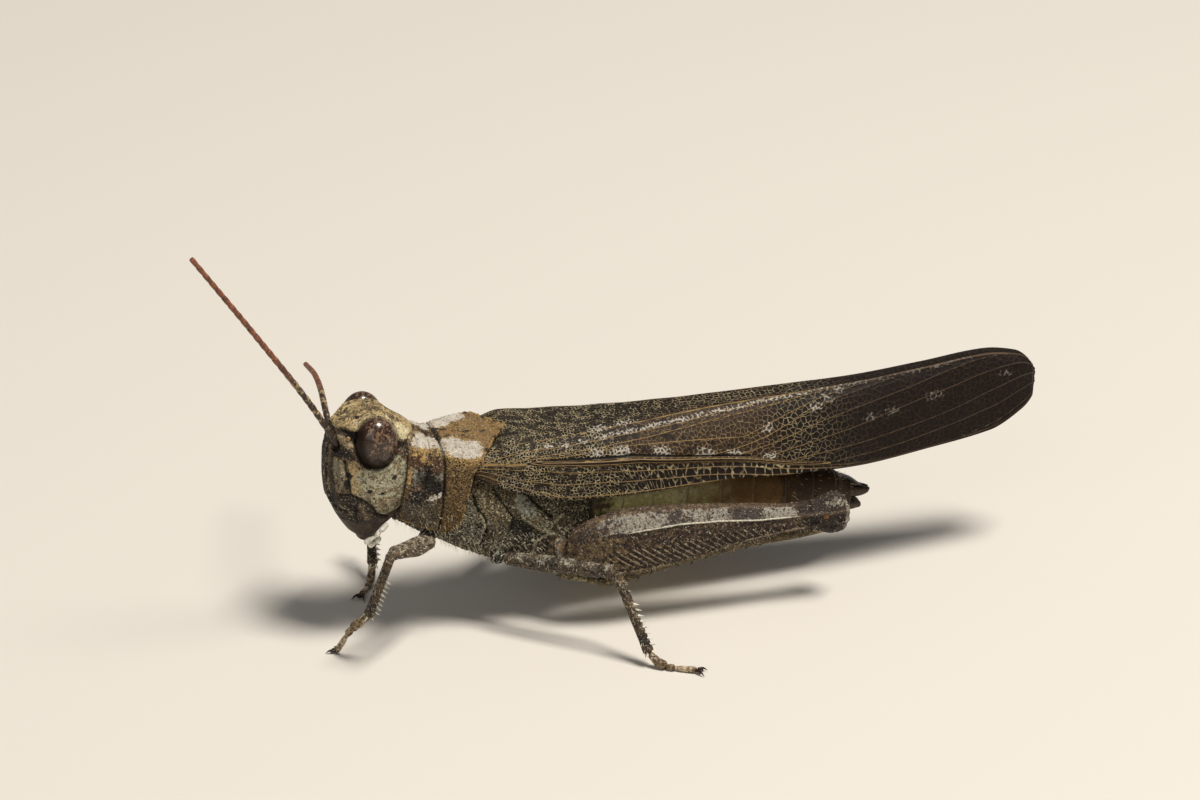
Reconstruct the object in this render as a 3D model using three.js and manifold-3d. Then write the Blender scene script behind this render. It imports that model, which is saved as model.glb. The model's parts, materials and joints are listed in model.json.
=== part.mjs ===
// A band-winged grasshopper at rest, life size, in millimetres.
// It faces -X, its left side is -Y, and it stands on the floor at z = 0.
import * as THREE from 'three';
import Module from 'manifold-3d';
import { ParametricGeometry } from 'three/addons/geometries/ParametricGeometry.js';
import { mergeVertices } from 'three/addons/utils/BufferGeometryUtils.js';

const wasm = await Module();
wasm.setup();
const { Manifold } = wasm;

// ---- driving dimensions ------------------------------------------------------
const BODY_PITCH = THREE.MathUtils.degToRad(10); // the tail end hangs lower
const AXIS_HEIGHT = 5.2; // body axis above the floor, under the pronotum's tip
const GAP = 0.04; // between neighbouring plates
const MERGE = 1e-3;
const SHIELD = 0.34; // thickness of the pronotum
const WING = 0.5; // thickness of a wing
const WING_TIP = 21.65;
const LIMB = 0.25; // least radius of a leg or feeler
const COLLAR = -4.5; // where head and pronotum meet, along the body axis
const HEAD_TOP = 9.5;
const HEAD_FOOT = 3.95;
const EYE_AT = [-5.35, -1.2, 8.38];
const EYE_RADII = [0.82, 0.65, 1.03];

// Trunk: along the axis, top, underside and half width, all in the body frame.
const TRUNK = [
  [-4.6, 1.93, -1.35, 1.3],
  [-3.4, 1.66, -1.8, 1.32],
  [-2.4, 1.76, -2.15, 1.55],
  [-1.4, 1.75, -2.5, 1.8],
  [0, 1.55, -2.78, 2.0],
  [2, 1.5, -2.75, 1.98],
  [3.6, 1.6, -2.4, 1.8],
  [5.5, 1.68, -2.0, 1.68],
  [8, 1.66, -1.6, 1.55],
  [11, 1.5, -1.2, 1.27],
  [13.2, 1.28, -0.95, 0.98],
  [14.1, 0.95, -0.6, 0.7],
];
const TRUNK_CUTS = [-2.5, 0.55, 3.0, 4.25, 5.5, 6.9, 8.3, 9.7, 11.1, 12.3, 13.3];
const TRUNK_NAMES = ['prothorax', 'mesothorax', 'metathorax', 'abdomen_1', 'abdomen_2',
  'abdomen_3', 'abdomen_4', 'abdomen_5', 'abdomen_6', 'abdomen_7', 'abdomen_8', 'abdomen_tip'];

// Pronotum: along the axis, ridge height, half width and squareness.
const PRONOTUM = [
  [-4.6, 2.42, 1.72, 2.6],
  [-4.0, 2.34, 1.76, 3.0],
  [-3.4, 2.13, 1.76, 3.6],
  [-2.9, 2.17, 1.86, 4.6],
  [-2.4, 2.27, 2.0, 5.4],
  [-1.6, 2.38, 2.1, 5.6],
  [0.1, 2.6, 2.1, 5.6],
];
// Margin of the side lobe, seen from the side: along the axis, height.
const LOBE = [
  [-4.5, -0.3], [-4.42, -0.84], [-4.1, -0.95], [-3.45, -1.1], [-2.75, -1.2], [-2.4, -0.95],
  [-2.17, -0.6], [-2.12, 0.4], [-2.04, 1.4], [-1.88, 1.75], [-1.5, 1.95], [0.3, 2.1],
];
// Hind margin seen from above: along the axis, half width.
const APEX = [[-1.86, 2.4], [-1.68, 1.88], [-1.37, 1.5], [-1.1, 0.98], [-0.58, 0.25], [-0.43, 0]];

// Head: height, front, back, half width.
const HEAD = [
  [3.95, -5.95, -5.25, 0.6],
  [4.5, -6.42, -5.0, 1.05],
  [5.2, -6.82, -4.5, 1.5],
  [6.0, -7.08, -4.2, 1.68],
  [6.8, -7.13, -4.0, 1.62],
  [7.6, -7.11, -3.9, 1.45],
  [8.4, -6.97, -3.9, 1.3],
  [8.9, -6.8, -4.42, 1.22],
  [9.2, -6.3, -4.72, 0.98],
  [9.5, -5.6, -5.0, 0.38],
];

// Folded wings as one tent: along the body, fold (half width, height),
// belly (half width, height) and front margin (half width, height).
const TENT = [
  [-1.6, 1.25, 7.45, 1.76, 7.0, 1.78, 6.6],
  [-0.8, 1.25, 7.58, 1.88, 6.97, 1.92, 6.25],
  [0.2, 1.22, 7.88, 2.1, 6.95, 2.15, 5.92],
  [2, 1.0, 7.83, 2.14, 6.75, 2.24, 5.42],
  [5, 0.68, 7.8, 1.98, 6.6, 2.14, 5.26],
  [8, 0.5, 7.84, 1.68, 6.5, 1.96, 5.3],
  [11, 0.46, 7.87, 1.38, 6.4, 1.68, 5.02],
  [14, 0.32, 7.95, 1.1, 6.4, 1.4, 4.87],
  [17, 0.26, 8.2, 0.85, 6.55, 1.08, 5.08],
  [19.6, 0.24, 8.44, 0.66, 6.95, 0.78, 5.36],
  [20.9, 0.2, 8.22, 0.56, 7.1, 0.64, 6.0],
  [21.45, 0.14, 7.8, 0.4, 7.12, 0.44, 6.45],
  [21.65, 0.05, 7.35, 0.14, 7.1, 0.14, 6.9],
];

// Hind thigh: along the body, top, underside, distance out, half thickness.
const HIND_THIGH = [
  [1.85, 3.75, 3.2, 2.42, 0.2],
  [2.15, 4.2, 2.75, 2.5, 0.36],
  [3.1, 4.66, 2.36, 2.62, 0.5],
  [4.2, 4.86, 2.2, 2.68, 0.6],
  [5.6, 4.83, 2.4, 2.7, 0.6],
  [7.1, 4.7, 2.68, 2.76, 0.55],
  [9, 4.5, 2.95, 2.82, 0.46],
  [10.7, 4.3, 3.2, 2.88, 0.38],
  [11.6, 4.34, 3.18, 2.9, 0.38],
  [12.4, 4.58, 2.95, 2.9, 0.46],
  [12.85, 4.4, 3.02, 2.9, 0.4],
  [13.08, 3.9, 3.4, 2.9, 0.16],
];

const COLOURS = {
  head: [0x9a8a70, 0.6], eye: [0x5e4032, 0.3], feeler: [0x7a5438, 0.6],
  mouth: [0x4a4034, 0.6], palp: [0xd9d2c0, 0.6], shield: [0x9b7a4c, 0.65],
  thorax: [0x57554a, 0.65], belly: [0xa89a68, 0.55], belly_tip: [0x5b452c, 0.5],
  wing: [0x6e5b42, 0.7], fan: [0x8a8268, 0.6], thigh: [0x8c8068, 0.6],
  leg: [0x9d8d72, 0.6], shin: [0x7c6344, 0.55], foot: [0xb09a6c, 0.5],
};

// ---- forms -----------------------------------------------------------------
const clamp01 = (x) => Math.min(Math.max(x, 0), 1);
const vec = (a) => new THREE.Vector3(...a);

/** The row of a table at x: smooth between the rows, and never past them. */
function rowAt(table, x) {
  const last = table.length - 1;
  const at = THREE.MathUtils.clamp(x, table[0][0], table[last][0]);
  let i = 0;
  while (i < last - 1 && at > table[i + 1][0]) i += 1;
  const span = table[i + 1][0] - table[i][0];
  const t = (at - table[i][0]) / span;
  const slope = (k, j) => {
    if (k === 0 || k === last) return 0;
    const before = (table[k][j] - table[k - 1][j]) / (table[k][0] - table[k - 1][0]);
    const after = (table[k + 1][j] - table[k][j]) / (table[k + 1][0] - table[k][0]);
    return before * after > 0 ? (2 * before * after) / (before + after) : 0;
  };
  return table[i].slice(1).map((from, j) => {
    const a = slope(i, j + 1) * span;
    const b = slope(i + 1, j + 1) * span;
    const rise = table[i + 1][j + 1] - from;
    return from + a * t + (3 * rise - 2 * a - b) * t * t + (a + b - 2 * rise) * t ** 3;
  });
}

/** A closed, outward-facing solid from a three.js geometry. */
function solid(geometry) {
  geometry.deleteAttribute('uv');
  geometry.deleteAttribute('normal');
  const merged = mergeVertices(geometry, MERGE);
  const points = merged.getAttribute('position').array;
  const index = Array.from(merged.index.array);
  const faces = [];
  for (let i = 0; i < index.length; i += 3) {
    const [a, b, c] = index.slice(i, i + 3);
    if (a !== b && b !== c && c !== a) faces.push([a, b, c]);
  }
  const at = (k) => new THREE.Vector3().fromArray(points, 3 * k);
  const volume = faces.reduce((sum, [a, b, c]) => sum + at(a).dot(at(b).cross(at(c))), 0);
  if (volume < 0) faces.forEach((face) => face.reverse());
  return new Manifold(new wasm.Mesh({
    numProp: 3,
    vertProperties: new Float32Array(points),
    triVerts: new Uint32Array(faces.flat()),
  }));
}

/** Rings joined into a skin whose ends close on their middles. ring(t, angle). */
function loft(ring, rows, columns) {
  const middle = (t) => {
    const sum = new THREE.Vector3();
    for (let k = 0; k < columns; k += 1) sum.add(ring(t, (2 * Math.PI * k) / columns));
    return sum.divideScalar(columns);
  };
  const surface = (u, v, target) => {
    const row = Math.round(u * (rows + 1));
    const angle = (2 * Math.PI * (Math.round(v * columns) % columns)) / columns;
    if (row === 0) target.copy(middle(0));
    else if (row === rows + 1) target.copy(middle(1));
    else target.copy(ring((row - 1) / (rows - 1), angle));
  };
  return solid(new ParametricGeometry(surface, rows + 1, columns));
}

/** An oval whose squareness rises with the power. */
function oval(angle, power) {
  const bend = (x) => Math.sign(x) * Math.abs(x) ** (2 / power);
  return [bend(Math.cos(angle)), bend(Math.sin(angle))];
}

/** Body frame to floor frame: s along the axis, y across, h up from it. */
function onBody(s, y, h) {
  return new THREE.Vector3(
    s * Math.cos(BODY_PITCH) + h * Math.sin(BODY_PITCH),
    y,
    AXIS_HEIGHT - s * Math.sin(BODY_PITCH) + h * Math.cos(BODY_PITCH),
  );
}

/** Keeps the part of a body that lies from s0 to s1 along the body axis. */
function between(body, s0, s1) {
  const ahead = [Math.cos(BODY_PITCH), 0, -Math.sin(BODY_PITCH)];
  const shift = AXIS_HEIGHT * ahead[2];
  const back = ahead.map((x) => -x);
  return body.trimByPlane(ahead, s0 + shift).trimByPlane(back, -s1 - shift);
}

function ball(centre, radii, detail) {
  const sphere = new THREE.SphereGeometry(1, detail, Math.round(detail * 0.6));
  sphere.scale(...radii);
  sphere.translate(...centre);
  return solid(sphere);
}

/**
 * A limb along a smooth path: rows of [t, half depth, half width], rounded at
 * both ends. Depth lies in the upright plane of the path.
 */
function limb(path, sizes, rows, columns, grow = 0) {
  const curve = new THREE.CatmullRomCurve3(path.map(vec), false, 'centripetal');
  const length = curve.getLength();
  const ring = (t, angle) => {
    const along = (1 - Math.cos(Math.PI * t)) / 2;
    const [depth, width] = rowAt(sizes, along).map((r) => r + grow);
    const reach = (0.8 * Math.max(depth, width)) / length;
    const end = clamp01(Math.min(along, 1 - along) / reach);
    const round = Math.max(Math.sqrt(1 - (1 - end) ** 2), 0.3);
    const centre = curve.getPointAt(along);
    const tangent = curve.getTangentAt(along);
    const upright = new THREE.Vector3(0, 0, 1);
    if (Math.abs(tangent.z) > 0.95) upright.set(-1, 0, 0);
    const side = upright.clone().cross(tangent).normalize();
    const over = tangent.clone().cross(side);
    return centre
      .addScaledVector(side, width * round * Math.cos(angle))
      .addScaledVector(over, depth * round * Math.sin(angle));
  };
  return loft(ring, rows, columns);
}

/** A four-sided spine from its root to its tip. */
function thorn(root, tip, radius) {
  const way = vec(tip).sub(vec(root));
  const cone = new THREE.ConeGeometry(radius, way.length(), 4);
  cone.translate(0, way.length() / 2, 0);
  cone.applyQuaternion(new THREE.Quaternion().setFromUnitVectors(
    new THREE.Vector3(0, 1, 0),
    way.normalize(),
  ));
  cone.translate(...root);
  return solid(cone);
}

/** Cuts two limbs on one plane where they meet, with the gap between them. */
function joint(first, second, at, before, after) {
  const a = vec(at).sub(vec(before)).normalize();
  const b = vec(after).sub(vec(at)).normalize();
  const normal = a.add(b).normalize();
  const level = normal.dot(vec(at));
  return [
    first.trimByPlane(normal.clone().negate().toArray(), -level + GAP / 2),
    second.trimByPlane(normal.toArray(), level + GAP / 2),
  ];
}

const mirrorAcross = (body) => body.mirror([0, 1, 0]);

// ---- the model ---------------------------------------------------------------
const model = new THREE.Group();
model.name = 'grasshopper';

function place(name, body, kind) {
  const mesh = body.getMesh();
  const geometry = new THREE.BufferGeometry();
  geometry.setAttribute('position', new THREE.BufferAttribute(mesh.vertProperties, 3));
  geometry.setIndex(new THREE.BufferAttribute(mesh.triVerts, 1));
  geometry.computeVertexNormals();
  const [color, roughness] = COLOURS[kind];
  const material = new THREE.MeshStandardMaterial({ color, roughness, metalness: 0 });
  material.name = kind;
  const part = new THREE.Mesh(geometry, material);
  part.name = name;
  model.add(part);
}

function placePair(name, left, kind) {
  place(`${name}_left`, left, kind);
  place(`${name}_right`, mirrorAcross(left), kind);
}

// Trunk and pronotum
function trunkRing(grow) {
  const [first, last] = [TRUNK[0][0], TRUNK[TRUNK.length - 1][0]];
  return (t, angle) => {
    const s = first + (last - first) * t;
    const [top, foot, half] = rowAt(TRUNK, s);
    const middle = foot + 0.42 * (top - foot);
    const [across, up] = oval(angle, 2.4);
    const reach = up > 0 ? top - middle : middle - foot;
    return onBody(s, (half + grow) * across, middle + (reach + grow) * up);
  };
}

const upper = (angle) => Math.sin(angle) > 0;

function shieldRing(inset) {
  const [first, last] = [PRONOTUM[0][0], PRONOTUM[PRONOTUM.length - 1][0]];
  const floor = -3;
  const shoulder = 0.1;
  return (t, angle) => {
    const s = first + (last - first) * t;
    const [ridge, half, power] = rowAt(PRONOTUM, s);
    const [across, up] = oval(angle, upper(angle) ? power : 9);
    const reach = up > 0 ? ridge - shoulder - inset : shoulder - floor + inset;
    return onBody(s, (half - inset) * across, shoulder + reach * up);
  };
}

function outline(points, depth, turn) {
  const shape = new THREE.Shape(points.map(([x, y]) => new THREE.Vector2(x, y)));
  const prism = new THREE.ExtrudeGeometry(shape, { depth, bevelEnabled: false });
  prism.translate(0, 0, -depth / 2);
  if (turn) prism.rotateX(Math.PI / 2);
  prism.rotateY(BODY_PITCH);
  prism.translate(0, 0, AXIS_HEIGHT);
  return solid(prism);
}

function shieldCut(grow, drop = 0) {
  const side = LOBE.map(([s, h]) => [s + grow, h - grow - (s > -1.5 ? drop : 0)]);
  side[0] = [COLLAR - grow, LOBE[0][1]];
  const shut = [[0.3 + grow, 4], [COLLAR - grow, 4]];
  const half = APEX.map(([s, y]) => [s + grow, y]);
  const rest = half.slice(0, -1).reverse().map(([s, y]) => [s, -y]);
  const plan = [[COLLAR - 1, 3], [half[0][0], 3], ...half, ...rest, [half[0][0], -3],
    [COLLAR - 1, -3]];
  return outline([...side, ...shut], 8, true).intersect(outline(plan, 8, false));
}

const trunk = loft(trunkRing(0), 14, 14);
const saddle = loft(shieldRing(0), 12, 20).intersect(shieldCut(0));
const pronotum = saddle.subtract(loft(shieldRing(SHIELD), 7, 14));
place('pronotum', pronotum, 'shield');

const edges = [COLLAR, ...TRUNK_CUTS, TRUNK[TRUNK.length - 1][0] + 1];
TRUNK_NAMES.forEach((name, i) => {
  let kind = i < 3 ? 'thorax' : 'belly';
  if (i > 9) kind = 'belly_tip';
  place(name, between(trunk, edges[i] + GAP / 2, edges[i + 1] - GAP / 2), kind);
});

// Egg-laying valves: an upper and a lower pair, each joined at its root
const valveSizes = [[0, 0.29, 0.34], [0.6, 0.27, 0.3], [1, 0.15, 0.18]];
const valve = (h, tip) => limb(
  [onBody(13.7, 0, h), onBody(14.3, 0, h), onBody(tip, 0, h)].map((p) => p.toArray()),
  valveSizes, 5, 6,
);
const trunkEnd = TRUNK[TRUNK.length - 1][0];
place('valve_upper', between(valve(0.46, 15.05), trunkEnd + GAP, 20), 'belly_tip');
place('valve_lower', between(valve(-0.16, 14.8), trunkEnd + GAP, 20), 'belly_tip');

// Head, eyes and mouth
function headRing(t, angle) {
  const height = HEAD_FOOT + (HEAD_TOP - HEAD_FOOT) * (1 - (1 - t) ** 1.25);
  const [front, back, half] = rowAt(HEAD, height);
  const [along, across] = oval(angle, 2.3);
  return new THREE.Vector3((front + back) / 2 + ((back - front) / 2) * along, half * across, height);
}
const eyeLeft = ball(EYE_AT, EYE_RADII, 12);
const socket = ball(EYE_AT, EYE_RADII.map((r) => r + GAP), 12);
const skull = between(loft(headRing, 11, 16), -20, COLLAR - GAP / 2)
  .subtract(socket)
  .subtract(mirrorAcross(socket));
const jawLine = new THREE.Vector3(-0.25, 0, 1).normalize();
const jawLevel = jawLine.dot(new THREE.Vector3(-6.9, 0, 5.05));
const capsule = skull.trimByPlane(jawLine.toArray(), jawLevel + GAP / 2);
const mouth = skull.trimByPlane(jawLine.clone().negate().toArray(), -jawLevel + GAP / 2);
place('head', capsule, 'head');
placePair('eye', eyeLeft, 'eye');
const lip = new THREE.Vector3(1, 0, 0.15).normalize();
const lipLevel = lip.dot(new THREE.Vector3(-6.1, 0, 4.6));
const chinLevel = lip.dot(new THREE.Vector3(-5.3, 0, 4.6));
place('labrum', mouth.trimByPlane(lip.clone().negate().toArray(), -lipLevel + GAP / 2), 'mouth');
const behindLip = mouth.trimByPlane(lip.toArray(), lipLevel + GAP / 2);
place('labium', behindLip.trimByPlane(lip.toArray(), chinLevel + GAP / 2), 'mouth');
const jaws = behindLip.trimByPlane(lip.clone().negate().toArray(), -chinLevel + GAP / 2);
placePair('mandible', jaws.trimByPlane([0, -1, 0], GAP / 2), 'mouth');

const palpSizes = [[0, 0.2, 0.2], [0.7, 0.24, 0.24], [1, 0.2, 0.2]];
const maxPalp = limb([[-5.0, -1.36, 4.95], [-5.45, -1.34, 4.5], [-5.88, -1.14, 4.12]], palpSizes, 5, 6);
const labPalp = limb([[-5.1, -0.5, 3.9], [-5.3, -0.56, 3.78], [-5.6, -0.55, 3.62]], palpSizes, 5, 6);
placePair('maxillary_palp', maxPalp, 'palp');
placePair('labial_palp', labPalp, 'palp');

// Feelers
const feelerSizes = [[0, 0.34, 0.34], [0.05, 0.3, 0.3], [0.12, LIMB, LIMB], [1, LIMB, LIMB]];
const feelerPaths = {
  antenna_left: [[-6.7, -0.56, 8.25], [-7.9, -0.8, 10.3], [-9.95, -1.2, 13.5],
    [-12.4, -1.73, 17.2]],
  antenna_right: [[-6.72, 0.56, 8.3], [-6.62, 1.9, 8.6], [-6.37, 3.6, 8.52], [-6.08, 5.8, 8.1],
    [-5.76, 8.8, 7.15]],
};
const skullGrown = loft((t, angle) => {
  const point = headRing(t, angle);
  const middle = new THREE.Vector3(-5.5, 0, point.z);
  return point.sub(middle).multiplyScalar(1.03).add(middle);
}, 11, 16);
Object.entries(feelerPaths).forEach(([name, path]) => {
  place(name, limb(path, feelerSizes, 12, 6).subtract(skullGrown), 'feeler');
});

// Wings
function tentRing(inset, from, to) {
  return (t, angle) => {
    const x = from + (to - from) * (1 - (1 - t) ** 1.5);
    const [foldHalf, foldTop, bellyHalf, bellyAt, rimHalf, rim] = rowAt(TENT, x);
    const floor = rim - (inset > 0 ? 1 : 0);
    const side = [
      [0, foldTop - inset - 0.03], [Math.max(foldHalf - inset, 0), foldTop - inset],
      [Math.max((foldHalf + bellyHalf) / 2 - inset * 0.95 + 0.08, 0),
        (foldTop + bellyAt) / 2 + 0.18 - inset * 0.3],
      [Math.max(bellyHalf - inset, 0), bellyAt], [Math.max(rimHalf - inset, 0), rim],
      [Math.max(rimHalf - inset, 0) * 0.98, floor],
    ];
    const turn = angle / (2 * Math.PI);
    const way = turn <= 0.5 ? 2 * turn : 2 - 2 * turn;
    const step = Math.min(way * side.length, side.length);
    const i = Math.min(Math.floor(step), side.length - 1);
    const next = side[i + 1] ?? [0, floor];
    const f = step - i;
    const y = side[i][0] + (next[0] - side[i][0]) * f;
    const z = side[i][1] + (next[1] - side[i][1]) * f;
    return new THREE.Vector3(x, turn <= 0.5 ? -y : y, z);
  };
}
const saddleGrown = loft(shieldRing(-GAP), 12, 20).intersect(shieldCut(GAP, 0.8));
const trunkGrown = loft(trunkRing(GAP), 14, 14);
const halve = (body) => body.trimByPlane([0, -1, 0], GAP / 2);
const tent = loft(tentRing(0, -1.6, WING_TIP), 16, 16);
const wingRoot = ball([0.1, -1.6, 6.45], [0.9, 0.42, 0.4], 7);
const foreWing = halve(tent.subtract(loft(tentRing(WING, -2.4, 19.4), 9, 12)))
  .add(wingRoot).subtract(trunkGrown).subtract(saddleGrown);
placePair('tegmen', foreWing, 'wing');
const under = WING + GAP;
const fanOut = loft(tentRing(under, 1.3, 18.6), 9, 12);
const fanIn = loft(tentRing(under + WING, 0.2, 15.6), 6, 12);
const fanFloor = new THREE.Vector3(0, 0, 1);
const fanRoot = ball([2.2, -1.3, 6.2], [0.8, 0.3, 0.5], 7);
const fan = halve(fanOut.subtract(fanIn)).trimByPlane(fanFloor.toArray(), 5.6)
  .add(fanRoot).subtract(trunkGrown);
placePair('hindwing', fan, 'fan');

// Legs
const inner = (body) => body.subtract(trunkGrown);
const pad = (body) => body.trimByPlane([0, 0, 1], 0);

function walkingLeg(name, side, points, sizes) {
  const { hip, knee, heel, ball: toe, claw } = points;
  const coxa = inner(limb([hip[0], hip[1]], [[0, 0.55, 0.5], [1, 0.42, 0.4]], 5, 8));
  const thighStart = hip[1];
  let thigh = limb([thighStart, knee], sizes.thigh, 7, 8);
  let shin = limb([knee, heel], sizes.shin, 6, 7);
  let foot = limb([heel, toe, claw], sizes.foot, 7, 6);
  const [upper, lower] = joint(coxa, thigh, thighStart, hip[0], knee);
  [thigh, shin] = joint(lower, shin, knee, thighStart, heel);
  [shin, foot] = joint(shin, foot, heel, knee, toe);
  const nails = [-1, 1].map((way) => {
    const ahead = vec(claw).sub(vec(toe)).setZ(0).normalize();
    const out = new THREE.Vector3(-ahead.y, ahead.x, 0).multiplyScalar(way);
    const root = vec(claw).addScaledVector(ahead, -0.2);
    const tip = vec(claw).addScaledVector(ahead, 0.4).addScaledVector(out, 0.28);
    return thorn(root.toArray(), tip.setZ(0.12).toArray(), 0.17);
  });
  const whole = pad(foot.add(nails[0]).add(nails[1]));
  [['coxa', upper, 'thorax'], ['femur', thigh, 'leg'], ['tibia', shin, 'leg'],
    ['tarsus', whole, 'foot']].forEach(([part, body, kind]) => {
    place(`${name}_${part}_${side}`, side === 'right' ? mirrorAcross(body) : body, kind);
  });
}

const frontSizes = {
  thigh: [[0, 0.36, 0.3], [0.35, 0.43, 0.34], [1, 0.3, 0.28]],
  shin: [[0, 0.28, 0.26], [0.3, LIMB, LIMB], [1, 0.27, LIMB]],
  foot: [[0, LIMB, LIMB], [0.6, LIMB, LIMB], [1, LIMB, LIMB]],
};
const midSizes = {
  thigh: [[0, 0.29, 0.27], [0.4, 0.3, 0.28], [1, 0.27, 0.26]],
  shin: [[0, 0.3, 0.27], [0.3, LIMB, LIMB], [1, 0.27, LIMB]],
  foot: frontSizes.foot,
};
const frontHip = [[-3.55, -1.15, 4.4], [-3.3, -1.48, 3.98]];
const midHip = [[-0.75, -1.35, 3.2], [-0.55, -1.9, 3.1]];
walkingLeg('front', 'left', {
  hip: frontHip, knee: [-5.56, -4.2, 5.15], heel: [-6.24, -3.08, 2.0],
  ball: [-6.76, -2.65, 1.38], claw: [-7.28, -2.05, 0.06],
}, frontSizes);
walkingLeg('front', 'right', {
  hip: frontHip, knee: [-4.25, -4.75, 3.2], heel: [-4.5, -3.35, 0.7],
  ball: [-4.75, -2.9, 0.21], claw: [-5.3, -2.1, 0.2],
}, frontSizes);
const midPoints = {
  hip: midHip, knee: [3.1, -4.9, 3.45], heel: [4.0, -6.35, 0.55],
  ball: [4.45, -6.75, 0.21], claw: [5.6, -7.4, 0.2],
};
walkingLeg('mid', 'left', midPoints, midSizes);
walkingLeg('mid', 'right', midPoints, midSizes);

// Hind legs, folded: the shin lies under the thigh
function thighRing(grow) {
  const [first, last] = [HIND_THIGH[0][0], HIND_THIGH[HIND_THIGH.length - 1][0]];
  return (t, angle) => {
    const along = (1 - Math.cos(Math.PI * t)) / 2;
    const x = first + (last - first) * (0.4 * along + 0.6 * t);
    const [top, foot, out, half] = rowAt(HIND_THIGH, x);
    const [across, up] = oval(angle, 2.2);
    const middle = (top + foot) / 2;
    return new THREE.Vector3(x, -out + (half + grow) * across, middle + ((top - foot) / 2 + grow) * up);
  };
}
const hindThigh = loft(thighRing(0), 14, 10);
const hindThighGrown = loft(thighRing(GAP), 14, 10);
const hindHip = limb([[1.35, -1.5, 3.15], [1.95, -2.25, 3.35]], [[0, 0.7, 0.6], [1, 0.5, 0.4]], 5, 9);
const hindHeel = [4.05, -2.36, 1.82];
const hindBall = [3.6, -2.34, 1.68];
const hindClaw = [1.5, -2.25, 2.22];
const shinSizes = [[0, 0.36, 0.28], [0.08, 0.3, 0.26], [0.2, LIMB, LIMB], [0.9, LIMB, LIMB],
  [1, 0.32, 0.3]];
const shinLine = [[12.7, -2.86, 3.3], [11.5, -2.8, 3.0], [9, -2.66, 2.78], [6.5, -2.5, 2.36],
  hindHeel];
const bareShin = limb(shinLine, shinSizes, 11, 7);
const footStart = limb([hindHeel, hindBall, hindClaw], frontSizes.foot, 8, 6);
const [cutShin, cutFoot] = joint(bareShin, footStart, hindHeel, shinLine[3], hindBall);
const SPINES = 5;
const spines = [];
for (let k = 0; k < SPINES; k += 1) {
  [-1, 1].forEach((way) => {
    const root = vec(shinLine[2]).lerp(vec(hindHeel), 0.18 + (0.74 * k) / (SPINES - 1));
    const tip = root.clone().add(new THREE.Vector3(-0.3, way * 0.3, -0.36));
    spines.push(thorn(root.toArray(), tip.toArray(), 0.17));
  });
}
const hindShin = Manifold.union([cutShin, ...spines]).subtract(hindThighGrown);
placePair('hind_coxa', inner(hindHip).subtract(hindThighGrown), 'thorax');
placePair('hind_femur', hindThigh, 'thigh');
placePair('hind_tibia', hindShin, 'shin');
placePair('hind_tarsus', pad(cutFoot), 'foot');

// The origin is under the middle of the model, on the floor
const box = new THREE.Box3().setFromObject(model);
const centre = box.getCenter(new THREE.Vector3());
model.children.forEach((part) => part.geometry.translate(-centre.x, -centre.y, -box.min.z));

export default model;
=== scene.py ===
"""A band-winged grasshopper at rest, life size, dressed around its solid frame.

It faces -X and its left side is -Y. Shapes are worked out in millimetres on
the builder's own axes, whose origin is under the tip of the neck shield, and
are set down in metres on the frame's axes.
"""

import functools
import itertools
import json
import math

import bmesh
import bpy
import numpy as np
from bpy.props import FloatProperty, FloatVectorProperty, IntProperty, PointerProperty
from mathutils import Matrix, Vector

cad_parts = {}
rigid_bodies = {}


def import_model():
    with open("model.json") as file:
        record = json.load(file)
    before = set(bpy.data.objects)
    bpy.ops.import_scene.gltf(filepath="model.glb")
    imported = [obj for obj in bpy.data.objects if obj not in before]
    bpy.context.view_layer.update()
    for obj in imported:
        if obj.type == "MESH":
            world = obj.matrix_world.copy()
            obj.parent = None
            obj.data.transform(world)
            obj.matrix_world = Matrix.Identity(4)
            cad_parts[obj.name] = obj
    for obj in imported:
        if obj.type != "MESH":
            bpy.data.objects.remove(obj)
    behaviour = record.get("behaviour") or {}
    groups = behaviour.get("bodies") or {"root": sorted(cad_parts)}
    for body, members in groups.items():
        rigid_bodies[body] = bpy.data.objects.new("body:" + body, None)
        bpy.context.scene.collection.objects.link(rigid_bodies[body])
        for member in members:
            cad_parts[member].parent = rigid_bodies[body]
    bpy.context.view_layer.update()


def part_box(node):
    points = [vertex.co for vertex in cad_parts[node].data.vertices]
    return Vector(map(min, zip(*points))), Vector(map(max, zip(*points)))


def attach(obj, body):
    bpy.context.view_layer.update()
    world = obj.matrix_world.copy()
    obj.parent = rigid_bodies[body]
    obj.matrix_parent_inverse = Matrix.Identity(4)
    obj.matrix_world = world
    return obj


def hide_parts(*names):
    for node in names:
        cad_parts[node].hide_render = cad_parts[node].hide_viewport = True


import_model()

bl_info = {
    "name": "Band-winged Grasshopper",
    "version": (1, 0, 0),
    "blender": (4, 5, 0),
    "location": "View3D > Sidebar > Grasshopper",
    "description": "Builds a life-size grasshopper, plate by plate, with its wings, legs and hairs",
    "category": "Add Mesh",
}

MM = 0.001
TAU = 2 * math.pi
BODY = "root"
PITCH = math.radians(10)  # the tail end hangs lower
AXIS_HEIGHT = 5.2
COLLAR = -4.5
EYE_AT = np.array([-5.35, -1.2, 8.38])
EYE_RADII = np.array([0.82, 0.65, 1.03])
EYE_BOX = np.array([list(corner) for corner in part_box("eye_left")])
ORIGIN = EYE_AT - EYE_BOX.mean(0) / MM  # from the frame's axes to the builder's
WING_TIP = 21.65
SIDES = ("left", "right")
ROUND = 2.2  # squareness of a limb's section; 2 is an ellipse
HEAD_ROUND, TRUNK_ROUND = 2.3, 2.4

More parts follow.
